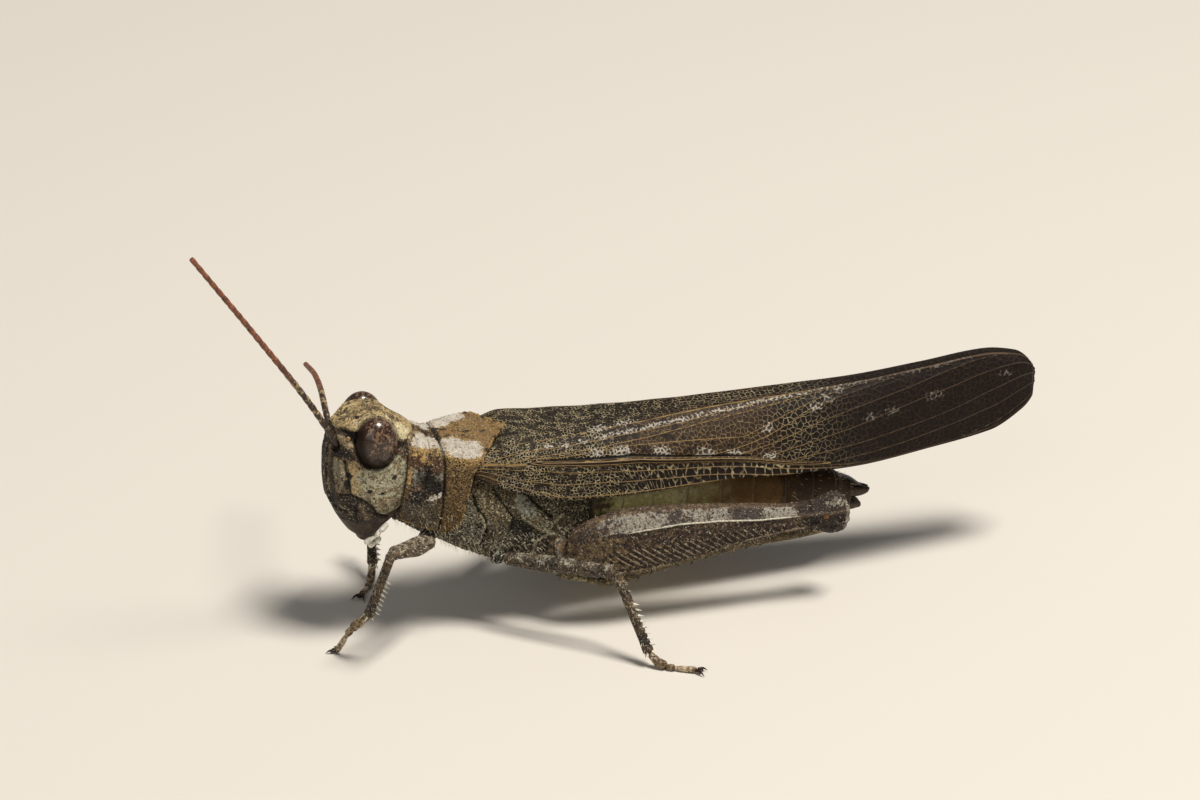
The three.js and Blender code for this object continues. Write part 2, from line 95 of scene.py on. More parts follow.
# Trunk: along the axis, top, underside and half width.
TRUNK = [
    (-4.6, 1.93, -1.35, 1.3), (-3.4, 1.66, -1.8, 1.32), (-2.4, 1.76, -2.15, 1.55),
    (-1.4, 1.75, -2.5, 1.8), (0, 1.55, -2.78, 2.0), (2, 1.5, -2.75, 1.98),
    (3.6, 1.6, -2.4, 1.8), (5.5, 1.68, -2.0, 1.68), (8, 1.66, -1.6, 1.55),
    (11, 1.5, -1.2, 1.27), (13.2, 1.28, -0.95, 0.98), (14.1, 0.95, -0.6, 0.7),
]
TRUNK_CUTS = [-2.5, 0.55, 3.0, 4.25, 5.5, 6.9, 8.3, 9.7, 11.1, 12.3, 13.3, 14.1]
# Neck shield: along the axis, ridge height, half width and squareness.
SHIELD = [
    (-4.6, 2.42, 1.6, 2.6), (-4.0, 2.34, 1.7, 3.0), (-3.4, 2.13, 1.76, 3.6),
    (-2.9, 2.17, 1.86, 4.6), (-2.4, 2.27, 2.0, 5.4), (-1.6, 2.38, 2.1, 5.6),
    (0.1, 2.6, 2.1, 5.6),
]
LOBE_FOOT = [(-4.5, -0.5), (-4.42, -0.84), (-4.1, -0.95), (-3.45, -1.1), (-2.75, -1.2),
             (-2.4, -1.0)]
LOBE_REAR = [(-1.3, -2.6), (-1.15, -2.62), (-0.95, -2.4), (-0.6, -2.17), (0.4, -2.12),
             (1.1, -2.06), (1.45, -2.04), (1.75, -1.88), (1.95, -1.5), (2.1, 0.3)]
APEX = [(0, -0.43), (0.25, -0.58), (0.98, -1.1), (1.5, -1.37), (1.88, -1.68), (2.4, -1.86)]
# Head: height, front, back and half width.
HEAD = [
    (3.95, -5.95, -5.25, 0.6), (4.5, -6.42, -5.0, 1.05), (5.2, -6.82, -4.35, 1.5),
    (6.0, -7.08, -3.75, 1.68), (6.8, -7.13, -3.5, 1.62), (7.6, -7.11, -3.4, 1.45),
    (8.4, -6.97, -3.7, 1.3), (8.9, -6.8, -4.36, 1.22), (9.2, -6.3, -4.72, 0.98),
    (9.5, -5.6, -5.0, 0.38),
]
# Folded wings: along the body, fold (half width, height), belly and front margin.
TENT = [
    (-1.6, 1.25, 7.45, 1.76, 7.0, 1.78, 6.6), (-0.8, 1.25, 7.58, 1.88, 6.97, 1.92, 6.25),
    (0.2, 1.22, 7.88, 2.1, 6.95, 2.15, 5.92), (2, 1.0, 7.83, 2.14, 6.75, 2.24, 5.42),
    (5, 0.68, 7.8, 1.98, 6.6, 2.14, 5.26), (8, 0.5, 7.84, 1.68, 6.5, 1.96, 5.3),
    (11, 0.46, 7.87, 1.38, 6.4, 1.68, 5.02), (14, 0.32, 7.95, 1.1, 6.4, 1.4, 4.87),
    (17, 0.26, 8.2, 0.85, 6.55, 1.08, 5.08), (19.6, 0.24, 8.44, 0.66, 6.95, 0.78, 5.36),
    (20.9, 0.2, 8.22, 0.56, 7.1, 0.64, 6.0), (21.45, 0.14, 7.8, 0.4, 7.12, 0.44, 6.45),
    (21.65, 0.05, 7.35, 0.14, 7.1, 0.14, 6.9),
]
# Wing veins in order across the wing: place along the body, share across (0 at
# the fold, 1 at the belly, 2 at the front margin).
VEINS = {
    "anal": [(-1.6, 0.37), (0, 0.33), (3, 0.22), (6, 0.14), (9, 0.05), (10.5, 0.01)],
    "claval": [(-1.6, 0.78), (-0.4, 0.64), (1.1, 0.55), (3.5, 0.46), (5.2, 0.4), (6.8, 0.35),
        (9, 0.2), (10.7, 0.07), (11.6, 0.015)],
    "cubital": [(-1.6, 0.83), (-0.2, 0.79), (1.8, 0.68), (3, 0.655), (5.5, 0.55), (7.6, 0.43),
        (10.2, 0.26), (11.3, 0.16), (12.5, 0.08), (13.5, 0.02)],
    "medial": [(-1.6, 0.85), (-0.1, 0.85), (1.7, 0.76), (3.4, 0.7), (5, 0.68), (7.5, 0.77),
        (9.3, 0.84), (10.3, 0.66), (11.6, 0.42), (12.8, 0.22), (14, 0.1), (15, 0.03)],
    "branch_1": [(6, 1.3), (7.5, 1.18), (9, 1.03), (10.3, 0.86), (11.6, 0.62), (13.2, 0.33),
        (15.1, 0.14), (16.3, 0.04)],
    "branch_2": [(8, 1.45), (9, 1.25), (10, 1.09), (12.4, 0.78), (14.4, 0.58), (16.3, 0.42),
        (17.5, 0.28), (19, 0.15), (20.5, 0.05)],
    "branch_3": [(9.5, 1.55), (10.7, 1.32), (13, 1.07), (14.9, 0.87), (16.6, 0.72), (18.2, 0.62),
        (19.8, 0.5), (21.6, 0.3)],
    "branch_4": [(10.8, 1.7), (11.5, 1.56), (14.1, 1.4), (15.8, 1.28), (17.9, 1.12), (20, 0.92),
        (21.6, 0.7)],
    "branch_5": [(12.3, 1.85), (13.6, 1.73), (15.8, 1.65), (17.9, 1.5), (20, 1.35), (21.6, 1.1)],
    "radial": [(-1.6, 0.86), (0, 0.9), (1.7, 0.92), (3.4, 1.0), (4.9, 1.05), (7.4, 1.3),
        (9.8, 1.54), (11.5, 1.75), (13.6, 1.9), (18, 1.93), (21.6, 1.7)],
    "subcostal_1": [(-1.6, 0.95), (1, 1.06), (3.2, 1.16), (5.7, 1.33), (7.4, 1.46), (9.8, 1.68),
        (11.5, 1.85), (13.6, 1.95), (21.6, 1.9)],
    "subcostal_2": [(-1.6, 1.15), (0.1, 1.45), (1.2, 1.47), (3.2, 1.49), (5.3, 1.58), (7.3, 1.7),
        (9, 1.85), (10.2, 1.93), (12, 1.975), (21.6, 1.96)],
    "costal": [(-1.6, 1.5), (0, 1.75), (1.6, 1.86), (5.7, 1.9), (8, 1.95), (10, 1.985),
        (21.6, 1.98)],
}
BRANCHES = [name for name in VEINS if name.startswith("branch")]
# Hind thigh: along the body, top, underside, distance out, half thickness.
HIND_THIGH = [
    (1.85, 3.75, 3.2, 2.42, 0.2), (2.15, 4.2, 2.75, 2.5, 0.36), (3.1, 4.66, 2.36, 2.62, 0.5),
    (4.2, 4.86, 2.2, 2.68, 0.6), (5.6, 4.83, 2.4, 2.7, 0.6), (7.1, 4.7, 2.68, 2.76, 0.55),
    (9, 4.5, 2.95, 2.82, 0.46), (10.7, 4.3, 3.2, 2.88, 0.38), (11.6, 4.34, 3.18, 2.9, 0.38),
    (12.4, 4.58, 2.95, 2.9, 0.46), (12.85, 4.4, 3.02, 2.9, 0.4), (13.08, 3.9, 3.4, 2.9, 0.16),
]


# ---- sums on arrays -------------------------------------------------------------
def row_at(table, x):
    """The row of a table at x: smooth between the rows, and never past them."""
    table = np.asarray(table, float)
    knots, values = table[:, 0], table[:, 1:]
    x = np.clip(np.asarray(x, float), knots[0], knots[-1])
    i = np.clip(np.searchsorted(knots, x, side="right") - 1, 0, len(knots) - 2)
    span = np.diff(knots)
    steps = np.diff(values, axis=0) / span[:, None]
    slope = np.zeros_like(values)
    product = steps[:-1] * steps[1:]
    total = steps[:-1] + steps[1:]
    slope[1:-1] = np.where(product > 0, 2 * product / np.where(total == 0, 1, total), 0)
    t = ((x - knots[i]) / span[i])[..., None]
    width = span[i][..., None]
    a, b = slope[i] * width, slope[i + 1] * width
    rise = values[i + 1] - values[i]
    return values[i] + a * t + (3 * rise - 2 * a - b) * t**2 + (a + b - 2 * rise) * t**3


def on_line(x, points):
    """The height at x of a line through points, straight between them."""
    return np.interp(x, *np.transpose(points))


def ease(x, low, high):
    """0 below low, 1 above high, smooth between."""
    t = np.clip((x - low) / (high - low), 0, 1)
    return t * t * (3 - 2 * t)


def hump(distance, width):
    return np.exp(-((distance / width) ** 2))


def between(x, low, high, soft=0.15):
    return ease(x, low - soft, low + soft) * (1 - ease(x, high - soft, high + soft))


def blob(at, centre, radii):
    """1 at the centre, one half on the ellipse of those radii, 0 at twice them."""
    away = (at - np.array(centre)) / np.array(radii)
    return np.clip(1 - np.sqrt((away**2).sum(-1)) / 2, 0, 1)


def blobs(at, *spots):
    """The highest of some blobs, each given by its centre's numbers and then its radii."""
    return np.max([blob(at, *np.reshape(spot, (2, -1))) for spot in spots], axis=0)


def to_line(at, line):
    """Distance of points on a plane from a polyline."""
    best = np.full(at.shape[:-1], 1e9)
    line = np.array(line, float)
    for a, b in zip(line, line[1:]):
        way = b - a
        t = np.clip(((at - a) @ way) / (way @ way), 0, 1)
        best = np.minimum(best, np.linalg.norm(at - a - t[..., None] * way, axis=-1))
    return best


def lines(at, width, *paths):
    """Highest on the polylines, falling off over the width."""
    return np.max([hump(to_line(at, path), width) for path in paths], axis=0)


def region(at, polygon, soft=0.1):
    """1 well inside a polygon, one half on its edge, 0 well outside."""
    x, y = at[..., 0], at[..., 1]
    inside = np.zeros(x.shape, bool)
    for (ax, ay), (bx, by) in zip(polygon, [*polygon[1:], polygon[0]]):
        if ay != by:
            inside ^= ((ay > y) != (by > y)) & (x < ax + (y - ay) / (by - ay) * (bx - ax))
    gap = to_line(at, [*polygon, polygon[0]])
    return np.clip(0.5 + np.where(inside, gap, -gap) / (2 * soft), 0, 1)


def plane_of(*axes):
    """Coordinates, two or three, as one array of points."""
    return np.stack(np.broadcast_arrays(*axes), -1)


def most(*fields):
    """The highest of some fields, point by point."""
    return functools.reduce(np.maximum, fields)


def bend(x, power):
    return np.sign(x) * np.abs(x) ** (2 / power)


def turns(count):
    """Angles all the way round, in equal steps."""
    return TAU * np.arange(count) / count


def oval(columns, power):
    """A squared circle: its points across and up."""
    angle = turns(columns)
    return bend(np.cos(angle), power), bend(np.sin(angle), power)


def ball(rows, columns):
    """Points on a ball of radius 1, in rows from the top down."""
    t = np.linspace(0.5, rows - 0.5, rows)[:, None] / rows * math.pi
    angle = turns(columns)
    return plane_of(np.sin(t) * np.cos(angle), np.sin(t) * np.sin(angle), np.cos(t))


def unwrap(along, around):
    """Where hairs look up their colour, from shares along and round a piece."""
    return {"unwrap_u": 0.05 + 0.9 * along, "unwrap_v": 0.05 + 0.9 * around}


def on_body(s, y, h):
    """Body axes to floor axes: s along the body, y across, h up from it."""
    return plane_of(s * math.cos(PITCH) + h * math.sin(PITCH), y,
                    AXIS_HEIGHT - s * math.sin(PITCH) + h * math.cos(PITCH))


def smooth_line(points, per_span=120):
    """A smooth path through points: gives places and headings at shares of its length."""
    pts = [np.array(p, float) for p in points]
    pts = [2 * pts[0] - pts[1], *pts, 2 * pts[-1] - pts[-2]]
    t = np.linspace(0, 1, per_span, endpoint=False)[:, None]
    dense = []
    for a, b, c, d in zip(pts, pts[1:], pts[2:], pts[3:]):
        k0, k1, k2 = (np.linalg.norm(q - p) ** 0.5 for p, q in ((a, b), (b, c), (c, d)))
        out = ((b - a) / k0 - (c - a) / (k0 + k1) + (c - b) / k1) * k1
        back = ((c - b) / k1 - (d - b) / (k1 + k2) + (d - c) / k2) * k1
        dense.append(b + out * t + (3 * (c - b) - 2 * out - back) * t**2
                     + (2 * (b - c) + out + back) * t**3)
    dense = np.concatenate([*dense, pts[-2][None]])
    length = np.concatenate([[0], np.cumsum(np.linalg.norm(np.diff(dense, axis=0), axis=1))])

    def place(share):
        share = np.asarray(share, float) * length[-1]
        return np.stack([np.interp(share, length, dense[:, k]) for k in range(3)], -1)

    def heading(share):
        ahead = place(np.minimum(np.asarray(share) + 0.004, 1))
        way = ahead - place(np.maximum(np.asarray(share) - 0.004, 0))
        return way / np.linalg.norm(way, axis=-1, keepdims=True)

    place.length = length[-1]
    return place, heading


def grid_normals(grid, wrap):
    """Unit directions out of a grid of points, away from the middle of each row."""
    down = np.gradient(grid, axis=0)
    if wrap:
        across = np.roll(grid, -1, 1) - np.roll(grid, 1, 1)
    else:
        across = np.gradient(grid, axis=1)
    normal = np.cross(down, across)
    normal /= np.maximum(np.linalg.norm(normal, axis=-1, keepdims=True), 1e-12)
    outward = grid - grid.mean(1, keepdims=True)
    return normal * (1 if (normal * outward).sum() > 0 else -1)


def raised(grid, relief):
    """The grid with its points moved out by a height that may differ from point to point."""
    return grid + grid_normals(grid, True) * relief[..., None]


# ---- meshes -----------------------------------------------------------------------
def quads(rows, columns, wrap):
    r, c = np.mgrid[: rows - 1, : columns if wrap else columns - 1]
    n = (c + 1) % columns
    return np.stack([r * columns + c, r * columns + n, (r + 1) * columns + n,
                     (r + 1) * columns + c], -1).reshape(-1, 4)


class Form:
    """Points, faces and painted fields gathered for one piece, in millimetres."""

    def __init__(self):
        self.points, self.faces, self.fields, self.count = [], [], [], 0

    def add(self, points, faces, fields):
        """Adds a closed shape, turned so that its faces point outwards."""
        quad = [f for f in faces if f.shape[1] == 4]
        tris = np.concatenate([f for f in faces if f.shape[1] == 3]
                              + [q[:, [0, 1, 2]] for q in quad] + [q[:, [0, 2, 3]] for q in quad])
        a, b, c = (points[tris[:, k]] for k in range(3))
        if (a * np.cross(b, c)).sum() < 0:
            faces = [f[:, ::-1] for f in faces]
        self.points.append(points)
        self.faces += [f + self.count for f in faces]
        self.fields.append(fields)
        self.count += len(points)

    def loft(self, grid, **fields):
        """Rows of points joined round, both ends closed on their middles."""
        rows, columns = grid.shape[:2]
        ends = np.stack([grid[0].mean(0), grid[-1].mean(0)])
        here = np.arange(columns)
        after = (here + 1) % columns
        total = rows * columns
        first = np.stack([after, here, np.full(columns, total)], -1)
        last = np.stack([here, after, np.full(columns, total + 1)], -1)
        last[:, :2] += (rows - 1) * columns
        for name, values in fields.items():
            values = np.broadcast_to(values, grid.shape[:2])
            fields[name] = np.concatenate([values.ravel(), [values[0].mean(), values[-1].mean()]])
        self.add(np.concatenate([grid.reshape(-1, 3), ends]),
                 [quads(rows, columns, True), first, last], fields)

    def shell(self, outer, inner, **fields):
        """A plate between two grids of the same size, walled round its border."""
        rows, columns = outer.shape[:2]
        total = rows * columns
        face = quads(rows, columns, False)
        border = np.concatenate([np.arange(columns), np.arange(1, rows) * columns + columns - 1,
                                 (rows - 1) * columns + np.arange(columns - 2, -1, -1),
                                 np.arange(rows - 2, 0, -1) * columns])
        after = np.roll(border, -1)
        wall = np.stack([after, border, border + total, after + total], -1)
        spread = {k: np.tile(np.broadcast_to(v, outer.shape[:2]).ravel(), 2)
                  for k, v in fields.items()}
        self.add(np.concatenate([outer.reshape(-1, 3), inner.reshape(-1, 3)]),
                 [face, face[:, ::-1] + total, wall], spread)

    def on(self, side):
        """The form, drawn for the left, as it is on a side."""
        if side == "left":
            return self
        other = Form()
        other.points = [p * (1, -1, 1) for p in self.points]
        other.faces = [f[:, ::-1] for f in self.faces]
        other.fields, other.count = self.fields, self.count
        return other

    def piece(self, name, finish, nodes=(), slot=None):
        """The form as an object in metres on the frame's axes, in place of its nodes."""
        points = (np.concatenate(self.points) - ORIGIN) * MM
        mesh = bpy.data.meshes.new(name)
        mesh.from_pydata(points.tolist(), [], [f for part in self.faces for f in part.tolist()])
        for field in sorted({k for part in self.fields for k in part}):
            values = [part.get(field, np.zeros(len(p)))
                      for part, p in zip(self.fields, self.points)]
            mesh.attributes.new(field, "FLOAT", "POINT").data.foreach_set(
                "value", np.concatenate(values).astype(np.float32))
        mesh.shade_smooth()
        mesh.materials.append(finish)
        return adopt(show(bpy.data.objects.new(name, mesh)), nodes)


def show(thing):
    """Puts an object into the scene."""
    bpy.context.scene.collection.objects.link(thing)
    return thing


def adopt(thing, nodes=()):
    """Lets a finished piece ride with the body and stand for its nodes."""
    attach(thing, BODY)
    if nodes:
        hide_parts(*nodes)
    return thing


def cut(thing, point, normal):
    """Cuts away what lies past a plane, given in millimetres, and closes the cut."""
    bm = bmesh.new()
    bm.from_mesh(thing.data)
    place = Vector((np.array(point) - ORIGIN) * MM)
    bmesh.ops.bisect_plane(bm, geom=bm.verts[:] + bm.edges[:] + bm.faces[:], plane_co=place,
                           plane_no=Vector(normal), clear_outer=True, dist=1e-9)
    rim = [e for e in bm.edges if e.is_boundary]
    caps = bmesh.ops.holes_fill(bm, edges=rim, sides=0)["faces"]
    bmesh.ops.triangulate(bm, faces=caps)
    bm.to_mesh(thing.data)
    bm.free()


# ---- node trees -------------------------------------------------------------------
def socket_of(sockets, key):
    if isinstance(key, int):
        return sockets[key]
    return next(s for s in sockets if s.enabled and s.name == key)


class Wire:
    """A node's output. Arithmetic on it adds Math nodes."""

    def __init__(self, bench, socket):
        self.bench, self.socket = bench, socket

    def __add__(self, other):
        return self.bench.math("ADD", self, other)

    def __sub__(self, other):
        return self.bench.math("SUBTRACT", self, other)

    def __rsub__(self, other):
        return self.bench.math("SUBTRACT", other, self)

    def __mul__(self, other):
        return self.bench.math("MULTIPLY", self, other)

    def __truediv__(self, other):
        return self.bench.math("DIVIDE", self, other)

    __radd__, __rmul__ = __add__, __mul__


class Bench:
    """A shader or geometry tree on which nodes are made and joined."""

    def __init__(self, tree):
        self.tree = tree
        self.kept = {}

    def make(self, kind, settings=None, values=None, out=0):
        """A node of a kind: its settings first, then values or wires for its sockets."""
        node = self.tree.nodes.new(kind)
        for key, value in (settings or {}).items():
            setattr(node, key, value)
        for key, value in (values or {}).items():
            target = socket_of(node.inputs, key)
            if isinstance(value, Wire):
                self.tree.links.new(value.socket, target)
            else:
                target.default_value = value
        return Wire(self, socket_of(node.outputs, out)) if node.outputs else node

    def math(self, operation, *values):
        return self.make("ShaderNodeMath", {"operation": operation}, dict(enumerate(values)))

    def vector(self, operation, *values):
        return self.make("ShaderNodeVectorMath", {"operation": operation},
                         dict(enumerate(values)), "Vector")

    def scaled(self, vector, factor):
        return self.make("ShaderNodeVectorMath", {"operation": "SCALE"},
                         {"Vector": vector, "Scale": factor}, "Vector")

    def parts(self, wire):
        xyz = self.make("ShaderNodeSeparateXYZ", values={0: wire})
        return [Wire(self, s) for s in xyz.socket.node.outputs]

    def joined(self, x, y, z=0.0):
        return self.make("ShaderNodeCombineXYZ", values={0: x, 1: y, 2: z})

    def step(self, value, low, high, to_low=0.0, to_high=1.0):
        """A smooth step from to_low at low to to_high at high."""
        return self.make("ShaderNodeMapRange", {"interpolation_type": "SMOOTHSTEP"},
                         {"Value": value, "From Min": low, "From Max": high,
                          "To Min": to_low, "To Max": to_high})

    def mix(self, factor, a, b):
        return self.make("ShaderNodeMix", {"data_type": "RGBA"},
                         {"Factor": factor, "A": a, "B": b}, "Result")

    def field(self, name):
        """A painted field of the mesh."""
        if name not in self.kept:
            self.kept[name] = self.make("ShaderNodeAttribute", {"attribute_name": name},
                                        out="Fac")
        return self.kept[name]

    def place(self):
        """Where a point is, in millimetres."""
        if "place" not in self.kept:
            here = self.make("ShaderNodeTexCoord", out="Object")
            self.kept["place"] = self.make(
                "ShaderNodeMapping", values={"Vector": here, "Scale": (1 / MM,) * 3})
        return self.kept["place"]

    def noise(self, size, detail=3.0, shift=0.0):
        """Noise about 0, with lumps of a size in millimetres."""
        key = ("noise", size, detail, shift)
        if key not in self.kept:
            at = self.place()
            if shift:
                at = self.vector("ADD", at, (shift, -shift, 2 * shift))
            self.kept[key] = self.make("ShaderNodeTexNoise", values={
                "Vector": at, "Scale": 1 / size, "Detail": detail, "Roughness": 0.6,
            }, out="Fac") - 0.5
        return self.kept[key]


def tone(*rgb):
    """A screen colour, 0 to 255, as the light values that nodes take."""
    linear = [(c / 255 / 12.92) if c <= 10 else ((c / 255 + 0.055) / 1.055) ** 2.4 for c in rgb]
    return (*linear, 1.0)


def solid(colour):
    """A colour of the settings as nodes take it."""
    return (*colour, 1.0)


def new_finish(name):
    finish = bpy.data.materials.new(name)
    finish.use_nodes = True
    bench = Bench(finish.node_tree)
    bench.surface = finish.node_tree.nodes["Principled BSDF"]
    return finish, bench


def dress(bench, colour, roughness, height=None, bump=0.02, **fixed):
    """Joins what varies to the shader and sets what doesn't on its own sockets."""
    link = bench.tree.links.new
    surface = bench.surface
    for key, value in (("Base Color", colour), ("Roughness", roughness)):
        if isinstance(value, Wire):
            link(value.socket, surface.inputs[key])
        else:
            surface.inputs[key].default_value = value
    for key, value in fixed.items():
        surface.inputs[key.replace("_", " ")].default_value = value
    if height is not None:
        rise = bench.make("ShaderNodeBump", values={"Height": height, "Distance": bump * MM})
        link(rise.socket, surface.inputs["Normal"])


DARKER, LIGHTER = 0.34, 1.5  # dust against the colour below it


def plated(name, dark, light, layers, rough=(0.5, 0.8), lumps=0.09, bump=0.03, mottle=0.5,
           net=None, grain=0.7, ridge_pale=0.3):
    """Mottled shell: a ground between two tones, and layers painted over it.

    A layer is a field's name or a number, its tone, the size of the noise that
    breaks its edge, how much it is broken, how soft its edge is, and its strength.
    A net is a field's name, the size of its cells, and the tones of threads and pits.
    Grain is how strong the finest dark and light dust is, and the last how much raised ridges are
    paled; grooves are darkened as painted shade.
    """
    finish, bench = new_finish(name)
    ground = bench.step(bench.noise(mottle, 4) + bench.noise(0.11, 2), -0.2, 0.2)
    colour = bench.mix(ground, dark, light)
    for k, (field, tint, size, broken, soft, strength) in enumerate(layers):
        value = field if isinstance(field, (int, float)) else bench.field(field)
        edge = bench.noise(size, 3, 3.7 * k) * broken + value
        colour = bench.mix(bench.step(edge, 0.5 - soft, 0.5 + soft, 0.0, strength), colour, tint)
    height = bench.noise(lumps, 3) + bench.noise(lumps / 3, 2) * 0.4
    if net:
        field, size, thread, pit = net
        warp = bench.make("ShaderNodeTexNoise", values={
            "Vector": bench.place(), "Scale": 0.6 / size, "Detail": 2.0}, out="Color")
        at = bench.vector("ADD", bench.place(), bench.scaled(warp, size))
        edge = bench.make("ShaderNodeTexVoronoi", {"feature": "DISTANCE_TO_EDGE"},
                          {"Vector": at, "Scale": 1 / size}, "Distance")
        amount = bench.field(field)
        colour = bench.mix(bench.step(edge, 0.08, 0.3, 0.0, 0.9) * amount, colour, pit)
        colour = bench.mix(bench.step(edge, 0.13, 0.03, 0.0, 0.75) * amount, colour, thread)
        height = height - bench.step(edge, 0.05, 0.35) * amount * 0.8
    dust = bench.noise(0.055, 2, 5.0) + bench.noise(0.16, 3, 9.0) * 0.8
    for low, high, change in ((0.0, -0.24, DARKER), (0.08, 0.28, LIGHTER)):
        speck = bench.step(dust, low, high, 0.0, grain)
        colour = bench.mix(speck, colour, bench.scaled(colour, change))
    relief = bench.field("relief")
    # painted shade: grooves of the relief darkened by their depth
    colour = bench.mix(bench.step(relief, -0.02, -0.08, 0.0, 0.7), colour, tone(20, 14, 10))
    # raised ridges of the relief paled towards the light tone
    colour = bench.mix(bench.step(relief, 0.03, 0.08, 0.0, ridge_pale), colour, light)
    roughness = bench.step(bench.noise(0.3, 3), -0.2, 0.2, *rough)
    dress(bench, colour, roughness, height + dust * 0.5, bump, Specular_IOR_Level=0.3)
    return finish


# ---- geometry trees ---------------------------------------------------------------
class Modelling(Bench):
    """A geometry tree with named inputs."""

    def __init__(self, name, **inputs):
        super().__init__(bpy.data.node_groups.new(name, "GeometryNodeTree"))
        face = self.tree.interface
        face.new_socket("Geometry", in_out="OUTPUT", socket_type="NodeSocketGeometry")
        self.sockets = {"Geometry": face.new_socket("Geometry", in_out="INPUT",
                                                    socket_type="NodeSocketGeometry")}
        for key, (kind, value) in inputs.items():
            self.sockets[key] = face.new_socket(key.replace("_", " "), in_out="INPUT",
                                                socket_type=f"NodeSocket{kind}")
            if value is not None:
                self.sockets[key].default_value = value
        source = self.tree.nodes.new("NodeGroupInput")
        self.given = {key: Wire(self, source.outputs[i]) for i, key in enumerate(self.sockets)}

    def named(self, name, kind="FLOAT"):
        return self.make("GeometryNodeInputNamedAttribute", {"data_type": kind},
                         {"Name": name}, "Attribute")

    def lifted(self, height):
        """The given geometry with its points moved out along their normals."""
        out = self.scaled(self.make("GeometryNodeInputNormal"), height)
        return self.make("GeometryNodeSetPosition", values={
            "Geometry": self.given["Geometry"], "Offset": out})

    def close(self, geometry):
        """Ends the tree: the geometry made real, in the material given."""
        real = self.make("GeometryNodeRealizeInstances", values={"Geometry": geometry})
        last = self.make("GeometryNodeSetMaterial", values={
            "Geometry": real, "Material": self.given["Material"]})
        end = self.tree.nodes.new("NodeGroupOutput")
        self.tree.links.new(last.socket, end.inputs[0])

    def apply(self, thing, **values):
        """Runs the tree on an object, and leaves it a plain mesh with no modifier."""
        modifier = thing.modifiers.new(self.tree.name, "NODES")
        modifier.node_group = self.tree
        for key, value in values.items():
            modifier[self.sockets[key].identifier] = value
        result = bpy.data.meshes.new_from_object(
            thing.evaluated_get(bpy.context.evaluated_depsgraph_get()))
        result.name = thing.name
        thing.modifiers.remove(modifier)
        thing.data = result


def granulate(thing, size, height, seed=0.0):
    """Raises small round grains over a piece, of a size and height in millimetres."""
    tree = Modelling("grains", Grain_Size=("Float", 0.1), Grain_Height=("Float", 0.01),
                     Shift=("Float", 0.0), Material=("Material", None))
    grain, shift = (tree.joined(*(tree.given[key],) * 3) for key in ("Grain_Size", "Shift"))
    at = tree.vector("DIVIDE", tree.make("GeometryNodeInputPosition"), grain)
    cell = tree.make("ShaderNodeTexVoronoi", {"feature": "F1"},
                     {"Vector": tree.vector("ADD", at, shift), "Scale": 1.0}, "Distance")
    tree.close(tree.lifted(tree.step(cell, 0.65, 0.1) * tree.given["Grain_Height"]))
    tree.apply(thing, Grain_Size=size * MM, Grain_Height=height * MM, Shift=seed,
               Material=thing.data.materials[0])


ROW_SHIFT = 7.31  # moves each row's cells along, so that no two rows match
RUNG_WIDTH = 0.72  # how much a cell is widened where the veins stand like a ladder
WARP = 0.7  # how far the borders of cells wander, against a cell's size


def wing_pattern(bench, field):
    """Veins and cells of a wing, from painted fields: the distance to a main vein and
    to a cell's border, both in millimetres."""
    number, width, size = field("vein_row"), field("vein_gap"), field("cell_size")
    share = bench.math("FRACT", number)
    main = (0.5 - bench.math("ABSOLUTE", share - 0.5)) * width
    row = bench.math("FLOOR", number)
    along = field("cell_u") + row * ROW_SHIFT
    across = field("cell_v") * (1 - field("ladder") * RUNG_WIDTH)
    at = bench.joined(along, across)
    warp = bench.make("ShaderNodeTexNoise", values={"Vector": at, "Scale": 0.9, "Detail": 1.0},
                      out="Color")
    at = bench.vector("ADD", at, bench.scaled(warp, WARP))
    edge = bench.make("ShaderNodeTexVoronoi", {"voronoi_dimensions": "2D",
                                               "feature": "DISTANCE_TO_EDGE"},
                      {"Vector": at, "Scale": 1.0, "Randomness": 0.9}, "Distance")
    return main, edge * size


def vein_relief():
    """Raises the veins of a wing."""
    tree = Modelling("veins", Vein_Height=("Float", 0.00002), Material=("Material", None))
    main, border = wing_pattern(tree, tree.named)
    up = tree.math("MAXIMUM", tree.step(main, 0.05, 0.012), tree.step(border, 0.04, 0.01) * 0.6)
    tree.close(tree.lifted(up * tree.given["Vein_Height"]))
    return tree


LINK_OVERLAP = 1.06  # a link's length against its share of the line
BEFORE_END = 0.985  # the line's last point carries no link


